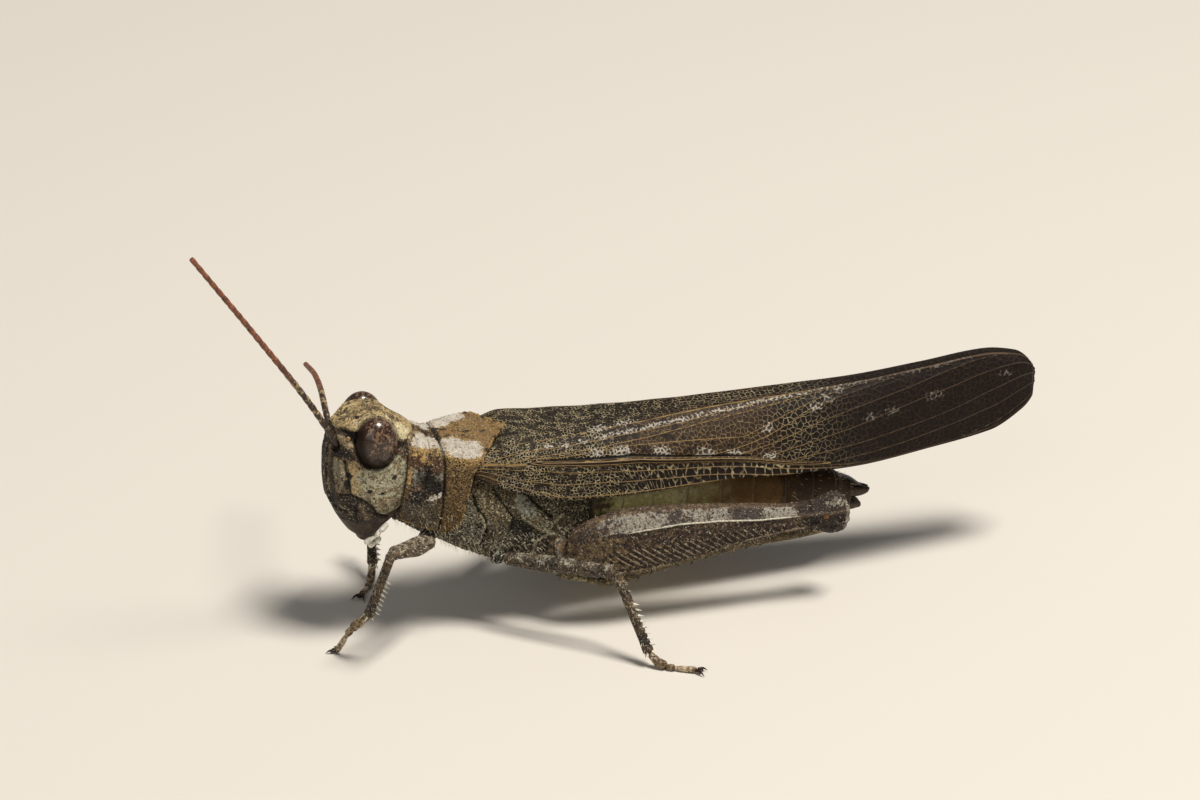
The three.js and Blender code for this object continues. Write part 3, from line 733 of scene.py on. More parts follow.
def links_on_line():
    """Beads along a line, each a short link that swells towards its far end."""
    tree = Modelling("links", Links=("Int", 24), Root_Radius=("Float", 0.0002),
                     Tip_Radius=("Float", 0.0001), Swell=("Float", 1.15),
                     Material=("Material", None))
    count, root = tree.given["Links"], tree.given["Root_Radius"]
    curve = tree.make("GeometryNodeMeshToCurve", values={"Mesh": tree.given["Geometry"]})
    points = tree.make("GeometryNodeResampleCurve", values={"Curve": curve, "Count": count + 1})
    share = tree.make("GeometryNodeSplineParameter", out="Factor")
    marked = tree.make("GeometryNodeStoreNamedAttribute", {"data_type": "FLOAT", "domain": "POINT"},
                       {"Geometry": points, "Name": "share", "Value": share})
    length = tree.make("GeometryNodeCurveLength", values={"Curve": points}) / count
    girth = share * (tree.given["Tip_Radius"] - root) + root
    turn = tree.make("FunctionNodeAlignRotationToVector", {"axis": "Z"},
                     {"Vector": tree.make("GeometryNodeInputTangent")})
    link = tree.make("GeometryNodeMeshCylinder", values={
        "Vertices": 14, "Side Segments": 6, "Fill Segments": 2, "Radius": 1.0, "Depth": 1.0},
        out="Mesh")
    x, y, z = tree.parts(tree.make("GeometryNodeInputPosition"))
    up = z + 0.5
    waist = tree.step(up, 0.0, 0.5, 0.86, 1.0) * tree.step(up, 0.75, 1.0, 1.0, 0.9)
    waist = waist * tree.step(up, 0.3, 0.8, 1.0, tree.given["Swell"])
    shaped = tree.make("GeometryNodeSetPosition", values={
        "Geometry": link, "Position": tree.joined(x * waist, y * waist, z + 0.47)})
    tree.close(tree.make("GeometryNodeInstanceOnPoints", values={
        "Points": marked, "Rotation": turn,
        "Instance": tree.make("GeometryNodeSetShadeSmooth", values={"Geometry": shaped}),
        "Scale": tree.joined(girth, girth, length * LINK_OVERLAP),
        "Selection": tree.math("LESS_THAN", share, BEFORE_END)}))
    return tree


def hair_strand():
    """One tapering hair of unit length, and its own place as a small patch."""
    sides, rings = 3, 4
    points = []
    for t in np.linspace(0, 1, rings):
        radius = 0.5 * (1 - t) ** 0.8 + 0.02
        points += [(radius * math.cos(a), radius * math.sin(a), t) for a in turns(sides)]
    faces = [*quads(rings, sides, True).tolist(), (2, 1, 0), (9, 10, 11)]
    mesh = bpy.data.meshes.new("strand")
    mesh.from_pydata(points, [], faces)
    mesh.attributes.new("patch", "FLOAT_VECTOR", "POINT").data.foreach_set(
        "vector", np.array([(0.5 + x, z, 0) for x, _, z in points], np.float32).ravel())
    return show(bpy.data.objects.new("strand", mesh))


PATCH_SIZE = 0.003  # a hair's own patch on its coat's bake


def hairs_on_skin():
    """Hairs scattered where the skin's fuzz field is high, leaning one way."""
    tree = Modelling("hairs", Strand=("Object", None), Density=("Float", 1e6),
                     Length=("Float", 0.0003), Radius=("Float", 0.00001),
                     Lean=("Vector", (0.0, 0.0, -0.5)), Seed=("Int", 3),
                     Material=("Material", None))
    amount = tree.named("fuzz") * tree.given["Density"]
    spread = tree.make("GeometryNodeDistributePointsOnFaces", values={
        "Mesh": tree.given["Geometry"], "Density": amount, "Seed": tree.given["Seed"]},
        out="Points")
    normal = Wire(tree, spread.socket.node.outputs["Normal"])
    wild = tree.make("FunctionNodeRandomValue", {"data_type": "FLOAT_VECTOR"},
                     {"Min": (-0.35,) * 3, "Max": (0.35,) * 3, "Seed": tree.given["Seed"]},
                     "Value")
    way = tree.vector("ADD", tree.vector("ADD", normal, tree.given["Lean"]), wild)
    turn = tree.make("FunctionNodeAlignRotationToVector", {"axis": "Z"}, {"Vector": way})
    length = tree.make("FunctionNodeRandomValue", {"data_type": "FLOAT"},
                       {"Min": 0.55, "Max": 1.0, "Seed": tree.given["Seed"]}, "Value")
    length = length * tree.given["Length"]
    strand = tree.make("GeometryNodeObjectInfo", values={"Object": tree.given["Strand"]},
                       out="Geometry")
    girth = tree.given["Radius"] * 2.0
    tufts = tree.make("GeometryNodeInstanceOnPoints", values={
        "Points": spread, "Instance": strand, "Rotation": turn,
        "Scale": tree.joined(girth, girth, length)})
    real = tree.make("GeometryNodeRealizeInstances", values={"Geometry": tufts})
    root = tree.joined(tree.named("unwrap_u"), tree.named("unwrap_v"))
    patch = tree.scaled(tree.named("patch", "FLOAT_VECTOR"), PATCH_SIZE)
    tree.close(tree.make("GeometryNodeStoreNamedAttribute",
                         {"data_type": "FLOAT2", "domain": "CORNER"},
                         {"Geometry": real, "Name": "OFBake",
                          "Value": tree.vector("ADD", root, patch)}))
    return tree


# ---- finishes ---------------------------------------------------------------------
SPECKS = (0.28, tone(40, 29, 20), 0.1, 2.2, 0.05, 0.85)
GRAINS = (0.25, tone(214, 204, 176), 0.07, 2.2, 0.06, 0.5)


def head_finish(looks):
    return plated("head_shell", tone(56, 41, 28), tone(128, 108, 80), [
        ("umber", tone(28, 19, 14), 0.2, 0.9, 0.12, 0.96),
        ("oval", tone(104, 86, 70), 0.12, 1.4, 0.12, 0.85),
        ("ash", tone(132, 124, 102), 0.16, 1.6, 0.14, 0.85),
        ("pale", tone(168, 164, 136), 0.2, 1.2, 0.12, 0.95),
        ("low", tone(108, 88, 62), 0.16, 2.6, 0.14, 0.85),
        ("yellow", solid(looks.vertex_tint), 0.16, 1.0, 0.14, 0.92),
        ("brown", tone(70, 52, 34), 0.16, 2.6, 0.12, 0.88),
        (0.2, tone(58, 43, 29), 0.2, 2.2, 0.08, 0.75),
        (0.2, tone(206, 188, 140), 0.16, 2.2, 0.08, 0.6),
        ("cream", tone(206, 192, 152), 0.12, 1.2, 0.1, 0.95),
        ("tan", tone(158, 138, 108), 0.12, 1.0, 0.1, 0.9),
        SPECKS, GRAINS,
        ("black", tone(20, 14, 10), 0.1, 0.8, 0.1, 0.97),
    ], bump=0.06, lumps=0.13, mottle=0.35, ridge_pale=0.12, grain=0.85)


FACET = 0.035  # width of one facet of an eye


def eye_finish(looks):
    """Dark, glossy and faceted, mottled with pale pink-brown where it faces back."""
    finish, bench = new_finish("eye_facets")
    mottle = bench.noise(0.15, 2, 1.3) + bench.noise(0.07, 2, 7.0) * 0.7
    shade = bench.field("shade")
    pale = bench.step(mottle - shade * 0.3, -0.04, 0.16)
    colour = bench.mix(pale, solid(looks.eye_tint), tone(120, 95, 74))
    colour = bench.mix(bench.step(shade, 0.25, 0.9, 0.0, 0.88), colour, tone(22, 13, 8))
    facets = bench.make("ShaderNodeTexVoronoi", values={
        "Vector": bench.place(), "Scale": 1 / FACET}, out="Distance")
    dress(bench, colour, bench.step(mottle, -0.2, 0.2, 0.24, 0.36), facets, 0.006,
          Coat_Roughness=0.2, Specular_IOR_Level=0.05)
    bench.tree.links.new(bench.step(shade, 0.2, 0.8, 1.0, 0.04).socket,
                         bench.surface.inputs["Coat Weight"])
    return finish


def shield_finish(looks):
    return plated("shield_shell", tone(56, 40, 27), tone(112, 88, 58), [
        ("low", tone(74, 68, 58), 0.2, 2.4, 0.12, 0.85),
        ("disc", tone(154, 122, 76), 0.16, 1.6, 0.16, 0.85),
        ("gold", tone(110, 82, 44), 0.2, 1.6, 0.15, 0.85),
        ("rust", tone(82, 52, 32), 0.14, 1.7, 0.12, 0.85),
        ("grey", tone(140, 140, 128), 0.14, 2.2, 0.1, 0.85),
        ("black", tone(24, 19, 18), 0.2, 1.9, 0.1, 0.95),
        ("yellow", tone(184, 150, 90), 0.1, 1.4, 0.12, 0.85),
        SPECKS, GRAINS,
        ("white", solid(looks.patch_tint), 0.12, 2.4, 0.1, 0.92),
        ("rim", tone(184, 146, 86), 0.08, 0.9, 0.12, 0.9),
        ("bead", tone(24, 19, 16), 0.1, 0.3, 0.08, 1.0),
    ], bump=0.08, grain=0.9, net=("net", 0.09, tone(152, 126, 80), tone(36, 25, 16)))


def thorax_finish(name):
    return plated(name, tone(32, 26, 21), tone(78, 66, 50), [
        ("olive", tone(112, 90, 58), 0.26, 3.2, 0.1, 0.78),
        ("ash", tone(102, 103, 94), 0.26, 3.2, 0.1, 0.78),
        ("tan", tone(106, 90, 68), 0.16, 1.8, 0.12, 0.9),
        ("umber", tone(36, 30, 26), 0.18, 1.4, 0.14, 0.88),
        ("black", tone(16, 12, 10), 0.12, 1.0, 0.12, 0.95),
        (0.38, tone(18, 14, 12), 0.24, 2.6, 0.06, 0.9),
        ("pale", tone(164, 166, 148), 0.14, 1.9, 0.1, 0.9),
        (0.34, tone(20, 16, 13), 0.12, 2.2, 0.05, 0.9),
        (0.31, tone(222, 216, 192), 0.1, 2.2, 0.05, 0.9),
        ("rim", tone(194, 184, 150), 0.08, 1.1, 0.1, 0.9),
    ], bump=0.18, lumps=0.2, grain=1.0, net=("net", 0.1, tone(166, 150, 108), tone(20, 16, 13)))


def belly_finish():
    return plated("belly_rings", tone(200, 184, 116), tone(236, 224, 164), [
        ("amber", tone(104, 68, 24), 0.5, 0.5, 0.4, 0.95),
        ("umber", tone(50, 33, 17), 0.3, 1.3, 0.3, 0.94),
        ("stripe", tone(206, 200, 152), 0.2, 0.6, 0.25, 0.6),
        (0.12, tone(60, 48, 30), 0.12, 2.2, 0.08, 0.5),
    ], rough=(0.35, 0.55), bump=0.02, mottle=0.9, grain=0.35)


def leg_finish(name, dark, light, pale, bands):
    return plated(name, dark, light, [
        ("pale", pale, 0.14, 1.9, 0.12, 0.85),
        ("dark", bands, 0.16, 1.7, 0.12, 0.92),
        ("spot", tone(132, 88, 52), 0.1, 0.4, 0.1, 0.85),
        (0.3, tone(34, 25, 19), 0.1, 2.1, 0.05, 0.85),
        (0.24, tone(204, 196, 174), 0.07, 2.1, 0.06, 0.55),
    ], bump=0.04, mottle=0.3, grain=0.8)


def wing_finish(looks):
    """Dark membrane crossed by veins that run from cream at the root to brown."""
    finish, bench = new_finish("wing_veins")
    field, mix, step, noise = bench.field, bench.mix, bench.step, bench.noise
    main, border = wing_pattern(bench, field)
    brown, apex = field("brown"), field("apex")
    film = mix(step(noise(0.6, 3) * 0.5 + brown, 0.25, 0.7), tone(28, 22, 18), tone(50, 38, 27))
    film = mix(step(noise(0.9, 3) * 0.8 + apex, 0.2, 0.9), film, solid(looks.apex_tint))
    film = mix(step(noise(0.3, 3, 8.0) + noise(0.08, 2, 3.0) * 0.5, 0.0, 0.2, 0.0, 0.5), film,
               bench.scaled(film, 1.6))
    thread = mix(step(noise(0.4, 3) + field("gold"), 0.3, 0.7), solid(looks.vein_tint),
                 tone(134, 104, 62))
    thread = mix(step(noise(0.7, 3, 4.0), 0.02, 0.2, 0.0, 0.6), thread, tone(196, 186, 164))
    thread = mix(step(brown + noise(0.5, 3, 2.0) * 0.5, 0.05, 0.45, 0.0, 0.85), thread,
                 tone(112, 90, 64))
    thread = mix(step(apex + noise(0.5, 3) * 0.6, 0.0, 0.9), thread, tone(74, 58, 44))
    fine = step(border, 0.022, 0.007) * step(noise(0.25, 3), -0.14, 0.1, 0.3, 1.0)
    fine = fine * step(apex, 0.2, 0.8, 1.0, 0.3)
    trunk = mix(step(apex, 0.1, 0.9), tone(142, 116, 76), tone(96, 78, 60))
    line = step(main, 0.021, 0.008) * field("strong")
    line = line * step(noise(0.3, 3, 6.0), -0.25, 0.0, 0.45, 1.0)
    clump = step(noise(0.3, 4, 5.0) * 1.6 + field("clump"), 0.1, 0.26, 0.0, 0.85)
    base = mix(clump, mix(fine, film, thread), tone(27, 22, 19))
    smooth = step(noise(0.3, 3) * 0.5 + field("smooth"), 0.35, 0.65, 0.0, 0.9)
    base = mix(smooth, base, mix(step(noise(0.12, 3), -0.1, 0.1), tone(46, 34, 25),
                                 tone(84, 64, 45)))
    colour = mix(line, base, trunk)
    bundle = field("bundle")
    stripes = step(bench.math("ABSOLUTE", bench.math("FRACT", bundle * 2.2) - 0.5), 0.2, 0.06)
    ribbon = mix(stripes * step(apex, 0.4, 1.0, 0.9, 0.3), tone(30, 22, 17), tone(146, 120, 80))
    colour = mix(step(bundle, 0.02, 0.06) * step(apex, 0.6, 1.1, 1.0, 0.3), colour, ribbon)
    chalk = step(noise(0.12, 3, 2.0) * 1.8 + field("white"), 0.38, 0.66)
    chalk = chalk * step(border, 0.045, 0.014, 0.06, 0.9) * step(apex, 0.3, 0.9, 1.0, 0.3)
    colour = mix(chalk, colour, tone(184, 176, 162))
    # crease: a near-black band beside the radial bundle, the membrane's own dark plus painted shade
    # in its groove
    colour = mix(step(noise(0.2, 2) * 0.3 + field("crease"), 0.3, 0.7, 0.0, 0.95), colour,
                 tone(14, 11, 9))
    vein = bench.math("MAXIMUM", fine, line)
    dress(bench, colour, step(vein, 0.0, 1.0, 0.58, 0.7), vein + noise(0.08, 2) * 0.5, 0.016,
          Specular_IOR_Level=0.14)
    return finish


def plain_finish(name, dark, light, size=0.2, rough=(0.4, 0.6), bump=0.01, **more):
    return plated(name, dark, light, [], rough=rough, bump=bump, mottle=size, **more)


# ---- head --------------------------------------------------------------------------
def head_grid(t, columns):
    z = HEAD[0][0] + (HEAD[-1][0] - HEAD[0][0]) * (1 - (1 - t) ** 1.25)
    front, back, half = (v[:, None] for v in row_at(HEAD, z).T)
    along, across = oval(columns, HEAD_ROUND)
    return plane_of((front + back) / 2 + (back - front) / 2 * along, half * across, z[:, None])


def from_eye(here):
    """How far points on the right are from the middle of the eye, in its radii."""
    return np.linalg.norm((here - EYE_AT * (1, -1, 1)) / EYE_RADII, axis=-1)


GENA = [(-6.46, 6.9), (-6.42, 6.45), (-6.03, 6.27), (-5.69, 5.98), (-5.4, 5.6), (-5.1, 5.42),
        (-4.6, 5.5), (-4.38, 6.1), (-4.2, 6.9), (-4.12, 7.5), (-4.4, 7.7), (-4.7, 8.05),
        (-5.1, 7.75), (-5.4, 7.5), (-5.9, 7.35), (-6.3, 7.5)]
GENA_STRIP = [(-6.52, 7.7), (-6.2, 7.75), (-6.05, 7.4), (-6.15, 7.1), (-6.05, 6.6), (-6.3, 6.35),
              (-6.46, 6.5), (-6.47, 7.0)]
FLANK = [(-7.05, 7.5), (-6.88, 7.76), (-6.6, 7.5), (-6.62, 7.1), (-6.6, 6.5), (-6.87, 6.4),
         (-7.0, 6.9)]
PATCH = [(-4.57, 8.9), (-4.23, 8.82), (-3.95, 8.5), (-4.1, 8.38), (-4.46, 8.36), (-4.56, 8.6)]
SHADE_BACK = [(-4.55, 8.34), (-4.0, 8.3), (-4.2, 8.05), (-4.5, 8.0)]
SHADE_EDGE = [(-4.6, 8.2), (-4.0, 8.3), (-3.9, 7.6), (-4.2, 7.3), (-4.5, 7.6)]
NAPE = [(-3.98, 8.3), (-4.02, 7.87), (-4.18, 6.97), (-4.34, 6.18), (-4.5, 5.6)]
PIT = [(-6.75, 8.9), (-6.47, 8.96), (-6.12, 8.92), (-6.1, 8.36), (-6.3, 8.44), (-6.43, 8.64)]
RIDGE = [(-7.01, 8.86), (-6.65, 8.72), (-6.44, 8.56), (-6.24, 8.36), (-6.36, 8.22), (-6.68, 8.34),
         (-7.0, 8.5)]
# the dark under the feeler's ridge, painted shade over the feeler's socket
UNDER_RIDGE = [(-7.1, 8.45), (-6.68, 8.3), (-6.35, 8.2), (-6.2, 7.85), (-6.55, 7.8), (-7.1, 7.75)]
MASK = [(-8, 6.2), (-6.9, 6.2), (-6.46, 6.4), (-6.1, 6.25), (-5.73, 5.98), (-5.47, 5.55),
        (-5.06, 5.32), (-4.3, 5.3), (-4, 3), (-8, 3)]
OVAL = [(-6.25, 6.1), (-6.03, 6.08), (-5.74, 5.5), (-5.62, 5.05), (-5.88, 5.1), (-6.18, 5.7)]


def head_relief(at):
    """Ridges and grooves of the head capsule, in millimetres."""
    x, y, z = at[..., 0], np.abs(at[..., 1]), at[..., 2]
    side, top, here = plane_of(x, z), plane_of(x, y), plane_of(x, y, z)
    face = ease(-x, 6.1, 6.6) * ease(z, 5.45, 5.8) * (1 - ease(z, 8.85, 9.15))
    half = np.interp(z, [5.4, 7, 8, 8.8, 9.1], [0.36, 0.3, 0.26, 0.2, 0.26])
    ridge = face * (0.03 * (y < half) + 0.05 * hump(y - half, 0.05)
                    - 0.05 * hump(y, 0.12) * between(z, 6.2, 8.3))
    flank = -0.09 * face * hump(y - 0.66, 0.26)
    socket = np.linalg.norm(here - (-6.85, 0.6, 8.2), axis=-1)
    pits = -0.2 * hump(socket, 0.2) + 0.06 * hump(socket - 0.31, 0.07)
    cheek = ease(y, 0.8, 1.05) * (
        -0.09 * lines(side, 0.05, [(-6.6, 7.71), (-6.58, 7.3), (-6.49, 6.93), (-6.47, 6.5)])
        - 0.1 * lines(side, 0.06, [(-6.9, 6.25), (-6.46, 6.4), (-6.1, 6.25), (-5.73, 5.98),
                                   (-5.45, 5.52), (-5.0, 5.3)])
        - 0.05 * lines(side, 0.05, [(-6.3, 5.9), (-6.2, 5.2)], [(-5.6, 5.6), (-5.5, 5.0)]))
    keel = ease(y, 0.5, 0.7) * 0.07 * lines(
        side, 0.07, [(-6.95, 8.68), (-6.6, 8.55), (-6.32, 8.3)],
        [(-6.9, 7.75), (-6.95, 7.2), (-6.85, 6.5)], [(-6.72, 7.6), (-6.76, 6.6)])
    crown = ease(z, 8.75, 9.0) * (
        0.05 * lines(top, 0.05, [(-6.75, 0.2), (-6.35, 0.48), (-5.7, 0.52)], [(-6.5, 0), (-4.6, 0)])
        - 0.06 * blob(top, (-6.1, 0), (0.6, 0.3)))
    hollow = -0.14 * region(side, PIT, 0.12) * ease(y, 0.5, 0.8)
    eye = from_eye(here)
    rim = 0.06 * hump(eye - 1.16, 0.06) - 0.09 * hump(eye - 1.03, 0.06)
    seam = -0.07 * hump(z - 5.64 - 0.25 * (x + 6.7), 0.05) * ease(-x, 6.0, 6.3)
    return ridge + flank + pits + cheek + keel + crown + hollow + rim + seam


def head_fields(at):
    x, y, z = at[..., 0], np.abs(at[..., 1]), at[..., 2]
    here, side = plane_of(x, y, z), plane_of(x, z)
    outer = ease(y, 0.35, 0.6)
    brow = np.interp(x, [-7, -6.1, -5.9, -4.6, -4.45, -3.8], [8.86, 8.9, 8.7, 8.6, 8.4, 8.4])
    gena = region(side, GENA, 0.22) * ease(y, 0.6, 0.9)
    strip = region(side, GENA_STRIP, 0.26) * outer
    eye = from_eye(here)
    back = lines(side, 0.1, NAPE)
    return {
        "yellow": most(0.88 * ease(z - brow, -0.16, 0.16), 0.9 * strip, 0.7 * back * outer),
        "brown": most(
            0.8 * blobs(here, (-5.1, 0.35, 9.4, 0.5, 0.3, 0.3), (-4.5, 0.5, 9.0, 0.4, 0.5, 0.4),
                        (-6.3, 0.2, 9.1, 0.3, 0.3, 0.3), (-4.3, 1.2, 7.9, 0.4, 0.4, 0.35)),
            0.44 * ease(z, 8.9, 9.3), 0.6 * hump(y, 0.1) * ease(z, 9.0, 9.2)),
        "cream": most(
            region(side, PATCH, 0.18) * outer, 0.5 * hump(eye - 1.14, 0.07) * ease(z, 8.6, 9.0),
            0.7 * blobs(here, (-6.05, 0.85, 9.02, 0.2, 0.3, 0.2),
                        (-4.75, 0.75, 9.16, 0.3, 0.3, 0.2))),
        "pale": gena,
        "low": gena * (0.4 + 0.28 * ease(-z, -6.8, -6.0)) + 0.4 * gena * back,
        "ash": most(region(side, FLANK, 0.22) * outer * (0.6 + 0.4 * ease(z, 6.9, 7.4)),
                    0.8 * lines(side, 0.06, [(-6.78, 5.81), (-6.45, 5.61)]) * outer),
        # umber: the dark lower face, plus painted shade down the middle of the face, under the
        # feeler's ridge, by the head's back edge and under the eye
        "umber": most(region(side, MASK, 0.2), ease(-y, -0.5, -0.2) * ease(-x, 6.3, 6.6),
                      region(side, UNDER_RIDGE, 0.22) * outer,
                      0.62 * region(side, SHADE_EDGE, 0.3) * outer,
                      0.75 * hump(eye - 1.05, 0.12) * ease(-z, -8.4, -7.6)),
        # black: the pit at the front of the crown and spots, plus painted shade behind the eye,
        # under the feeler's ridge and round the eye's lower edge
        "black": most(
            region(side, PIT, 0.16) * outer, 0.85 * region(side, SHADE_BACK, 0.24) * outer,
            0.6 * lines(side, 0.14, [(-6.95, 7.95), (-6.45, 7.95)]) * outer,
            0.6 * hump(eye - 1.03, 0.06) * ease(-z, -8.4, -7.7),
            blobs(here, (-5.75, 1.6, 6.57, 0.1, 0.4, 0.08), (-5.26, 1.6, 6.43, 0.08, 0.4, 0.06),
                  (-4.76, 1.4, 6.98, 0.1, 0.4, 0.1), (-5.95, 0.63, 9.26, 0.08, 0.1, 0.1),
                  (-6.48, 1.3, 7.17, 0.12, 0.3, 0.14), (-6.55, 1.3, 6.8, 0.1, 0.3, 0.2),
                  (-6.52, 0.21, 9.01, 0.06, 0.1, 0.1))),
        "tan": region(side, RIDGE, 0.14) * outer,
        "oval": region(side, OVAL, 0.2) * outer * 0.85,
    }


def eye_form():
    grid = ball(80, 110)
    shade = 0.8 * ease(-grid[..., 2], 0.0, 0.9) + 0.75 * ease(-grid[..., 0], 0.25, 0.95)
    form = Form()
    form.loft(EYE_AT + grid * EYE_RADII, shade=shade)
    return form


# ---- limbs ------------------------------------------------------------------------
STEEP = 0.95  # a limb that rises more than this takes its upright from -X instead


def limb_grid(path, sizes, rows, columns, blunt=0.8):
    """Rows round a smooth path, with shares along and angles round for painting."""
    place, heading = smooth_line(path)
    t = (1 - np.cos(math.pi * np.linspace(0, 1, rows))) / 2
    depth, width = row_at(sizes, t).T
    reach = blunt * np.maximum(depth, width) / place.length
    end = np.clip(np.minimum(t, 1 - t) / reach, 0, 1)
    cap = np.maximum(np.sqrt(1 - (1 - end) ** 2), 0.12)
    way = heading(t)
    upright = np.where(np.abs(way[:, 2:]) > STEEP, (-1.0, 0, 0), (0, 0, 1.0))
    side = np.cross(upright, way)
    side /= np.linalg.norm(side, axis=1, keepdims=True)
    over = np.cross(way, side)
    angle = turns(columns)
    across, up = oval(columns, ROUND)
    grid = (place(t)[:, None] + side[:, None] * ((width * cap)[:, None] * across)[..., None]
            + over[:, None] * ((depth * cap)[:, None] * up)[..., None])
    return grid, t[:, None] + 0 * angle, angle + 0 * t[:, None]


def round_angle(angle, centre):
    """Angles from a centre, wrapped to lie between -pi and pi."""
    return (angle - centre + math.pi) % TAU - math.pi


def spike(form, root, tip, radius, bow=0.0):
    """A tapering, pointed thorn from its root to its tip, bowed up at the middle."""
    root, tip = np.array(root, float), np.array(tip, float)
    middle = (root + tip) / 2 + (0, 0, bow)
    sizes = [(s, radius * k, radius * k) for s, k in ((0, 1), (0.6, 0.6), (1, 0.06))]
    grid, _, _ = limb_grid([root, middle, tip], sizes, 9, 8, blunt=0.2)
    form.loft(grid)


def bead(form, centre, radii):
    form.loft(np.array(centre) + ball(16, 24) * np.array(radii))


# ---- head pieces -----------------------------------------------------------------
AHEAD = (math.cos(PITCH), 0, -math.sin(PITCH))
JAW_AT, JAW_WAY = (-6.9, 0, 5.05), (-0.25, 0, 1)
LIP_AT, CHIN_AT, LIP_WAY = (-6.1, 0, 4.6), (-5.3, 0, 4.6), (1, 0, 0.15)


def away(way):
    return tuple(-k for k in way)


def head_form(t, columns):
    grid = head_grid(t, columns)
    relief = head_relief(grid)
    form = Form()
    form.loft(raised(grid, relief), relief=relief, **head_fields(grid))
    return form


def build_head(looks):
    finish = head_finish(looks)
    shell = head_form(np.linspace(0.1, 1, 200), 300).piece("head_shell", finish, ["head"], "head")
    cut(shell, JAW_AT, away(JAW_WAY))
    cut(shell, on_body(COLLAR + 0.25, 0, 0), AHEAD)
    granulate(shell, looks.grain_size, looks.grain_height, 0.0)


def build_mouth():
    finish = plain_finish("mouth_parts", tone(30, 22, 16), tone(78, 64, 48), 0.3, bump=0.03)
    jaws = [(LIP_AT, away(LIP_WAY)), (CHIN_AT, LIP_WAY)]
    shapes = {
        "lip_front": ("labrum", [(LIP_AT, LIP_WAY)]),
        "lip_rear": ("labium", [(CHIN_AT, away(LIP_WAY))]),
        "jaw_left": ("mandible_left", [*jaws, ((0, -0.01, 0), (0, 1, 0))]),
        "jaw_right": ("mandible_right", [*jaws, ((0, 0.01, 0), (0, -1, 0))]),
    }
    for name, (node, planes) in shapes.items():
        part = head_form(np.linspace(0, 0.26, 60), 160).piece(name, finish, [node], "mouth")
        for point, way in [(JAW_AT, JAW_WAY), *planes]:
            cut(part, point, way)
    bone = plain_finish("palp_skin", tone(200, 194, 176), tone(244, 240, 228), 0.12, grain=0.1)
    paths = {
        "maxillary": ([(-5.0, -1.36, 4.95), (-5.25, -1.38, 4.72), (-5.45, -1.34, 4.5),
                       (-5.7, -1.24, 4.3), (-5.88, -1.14, 4.12)],
                      [(0, 0.08), (0.27, 0.1), (0.33, 0.055), (0.5, 0.1), (0.56, 0.055),
                       (0.78, 0.1), (0.92, 0.12), (1, 0.08)]),
        "labial": ([(-5.1, -0.5, 3.98), (-5.3, -0.56, 3.82), (-5.6, -0.55, 3.66)],
                   [(0, 0.09), (0.3, 0.12), (0.4, 0.07), (0.8, 0.12), (1, 0.1)]),
    }
    for kind, (path, girths) in paths.items():
        grid, _, _ = limb_grid(path, [(share, r, r) for share, r in girths], 60, 30)
        form = Form()
        form.loft(grid)
        for side in SIDES:
            form.on(side).piece(f"{kind}_feeler_{side}", bone, [f"{kind}_palp_{side}"], "palp")


def build_eyes(looks):
    finish = eye_finish(looks)
    glass = plain_finish("simple_eyes", tone(120, 92, 60), tone(190, 160, 110), rough=(0.2, 0.3))
    for side in SIDES:
        eye_form().on(side).piece(f"eye_dome_{side}", finish, [f"eye_{side}"], "eye")
    form = Form()
    bead(form, (-6.99, 0, 8.0), (0.07, 0.09, 0.09))
    for side in (-1, 1):
        bead(form, (-6.42, side * 1.04, 8.62), (0.09, 0.07, 0.09))
    form.piece("simple_eyes", glass)


def feeler_finish(looks):
    """Blotched cream and dark near the root, red-brown with tan bands further out, and
    a shade picked at random for each link."""
    finish, bench = new_finish("feeler_links")
    share = bench.field("share")
    number = bench.math("FLOOR", share * float(looks.links) + 0.5)
    pick = bench.math("FRACT", bench.math("SINE", number * 12.9898) * 43758.5453)
    blotch = bench.noise(0.24, 2, 4.0) + (pick - 0.5) * 0.16
    ring = bench.mix(bench.step(blotch, -0.02, 0.08), tone(54, 38, 27), tone(150, 130, 92))
    far = bench.mix(bench.step(bench.noise(0.3, 3), -0.2, 0.2), tone(84, 47, 29),
                    solid(looks.tint))
    band = bench.step(bench.noise(0.34, 2, 7.0), 0.08, 0.16, 0.0, 0.6)
    far = bench.mix(band * bench.step(share, 0.76, 0.62), far, tone(168, 132, 94))
    colour = bench.mix(bench.step(share, 0.26, 0.44), ring, far)
    colour = bench.mix(bench.step(share, 0.1, 0.03), colour, tone(44, 31, 22))
    dress(bench, colour, 0.5, bench.noise(0.06, 2), 0.01)
    return finish


FEELERS = {
    "left": [(-6.72, -0.56, 8.2), (-7.9, -0.8, 10.3), (-9.95, -1.2, 13.5), (-12.4, -1.73, 17.2)],
    "right": [(-6.74, 0.56, 8.22), (-6.62, 1.9, 8.6), (-6.37, 3.6, 8.52), (-6.08, 5.8, 8.1),
              (-5.76, 8.8, 7.15)],
}


def build_feelers(looks):
    finish = feeler_finish(looks)
    tree = links_on_line()
    for side, path in FEELERS.items():
        place, _ = smooth_line(path)
        points = (place(np.linspace(0, 1, 60)) - ORIGIN) * MM
        mesh = bpy.data.meshes.new("line")
        mesh.from_pydata(points.tolist(), [(k, k + 1) for k in range(len(points) - 1)], [])
        mesh.materials.append(finish)
        thing = show(bpy.data.objects.new(f"feeler_{side}", mesh))
        tree.apply(thing, Links=looks.links, Root_Radius=looks.root_radius,
                   Tip_Radius=looks.tip_radius, Swell=looks.swell, Material=finish)
        adopt(thing, [f"antenna_{side}"])


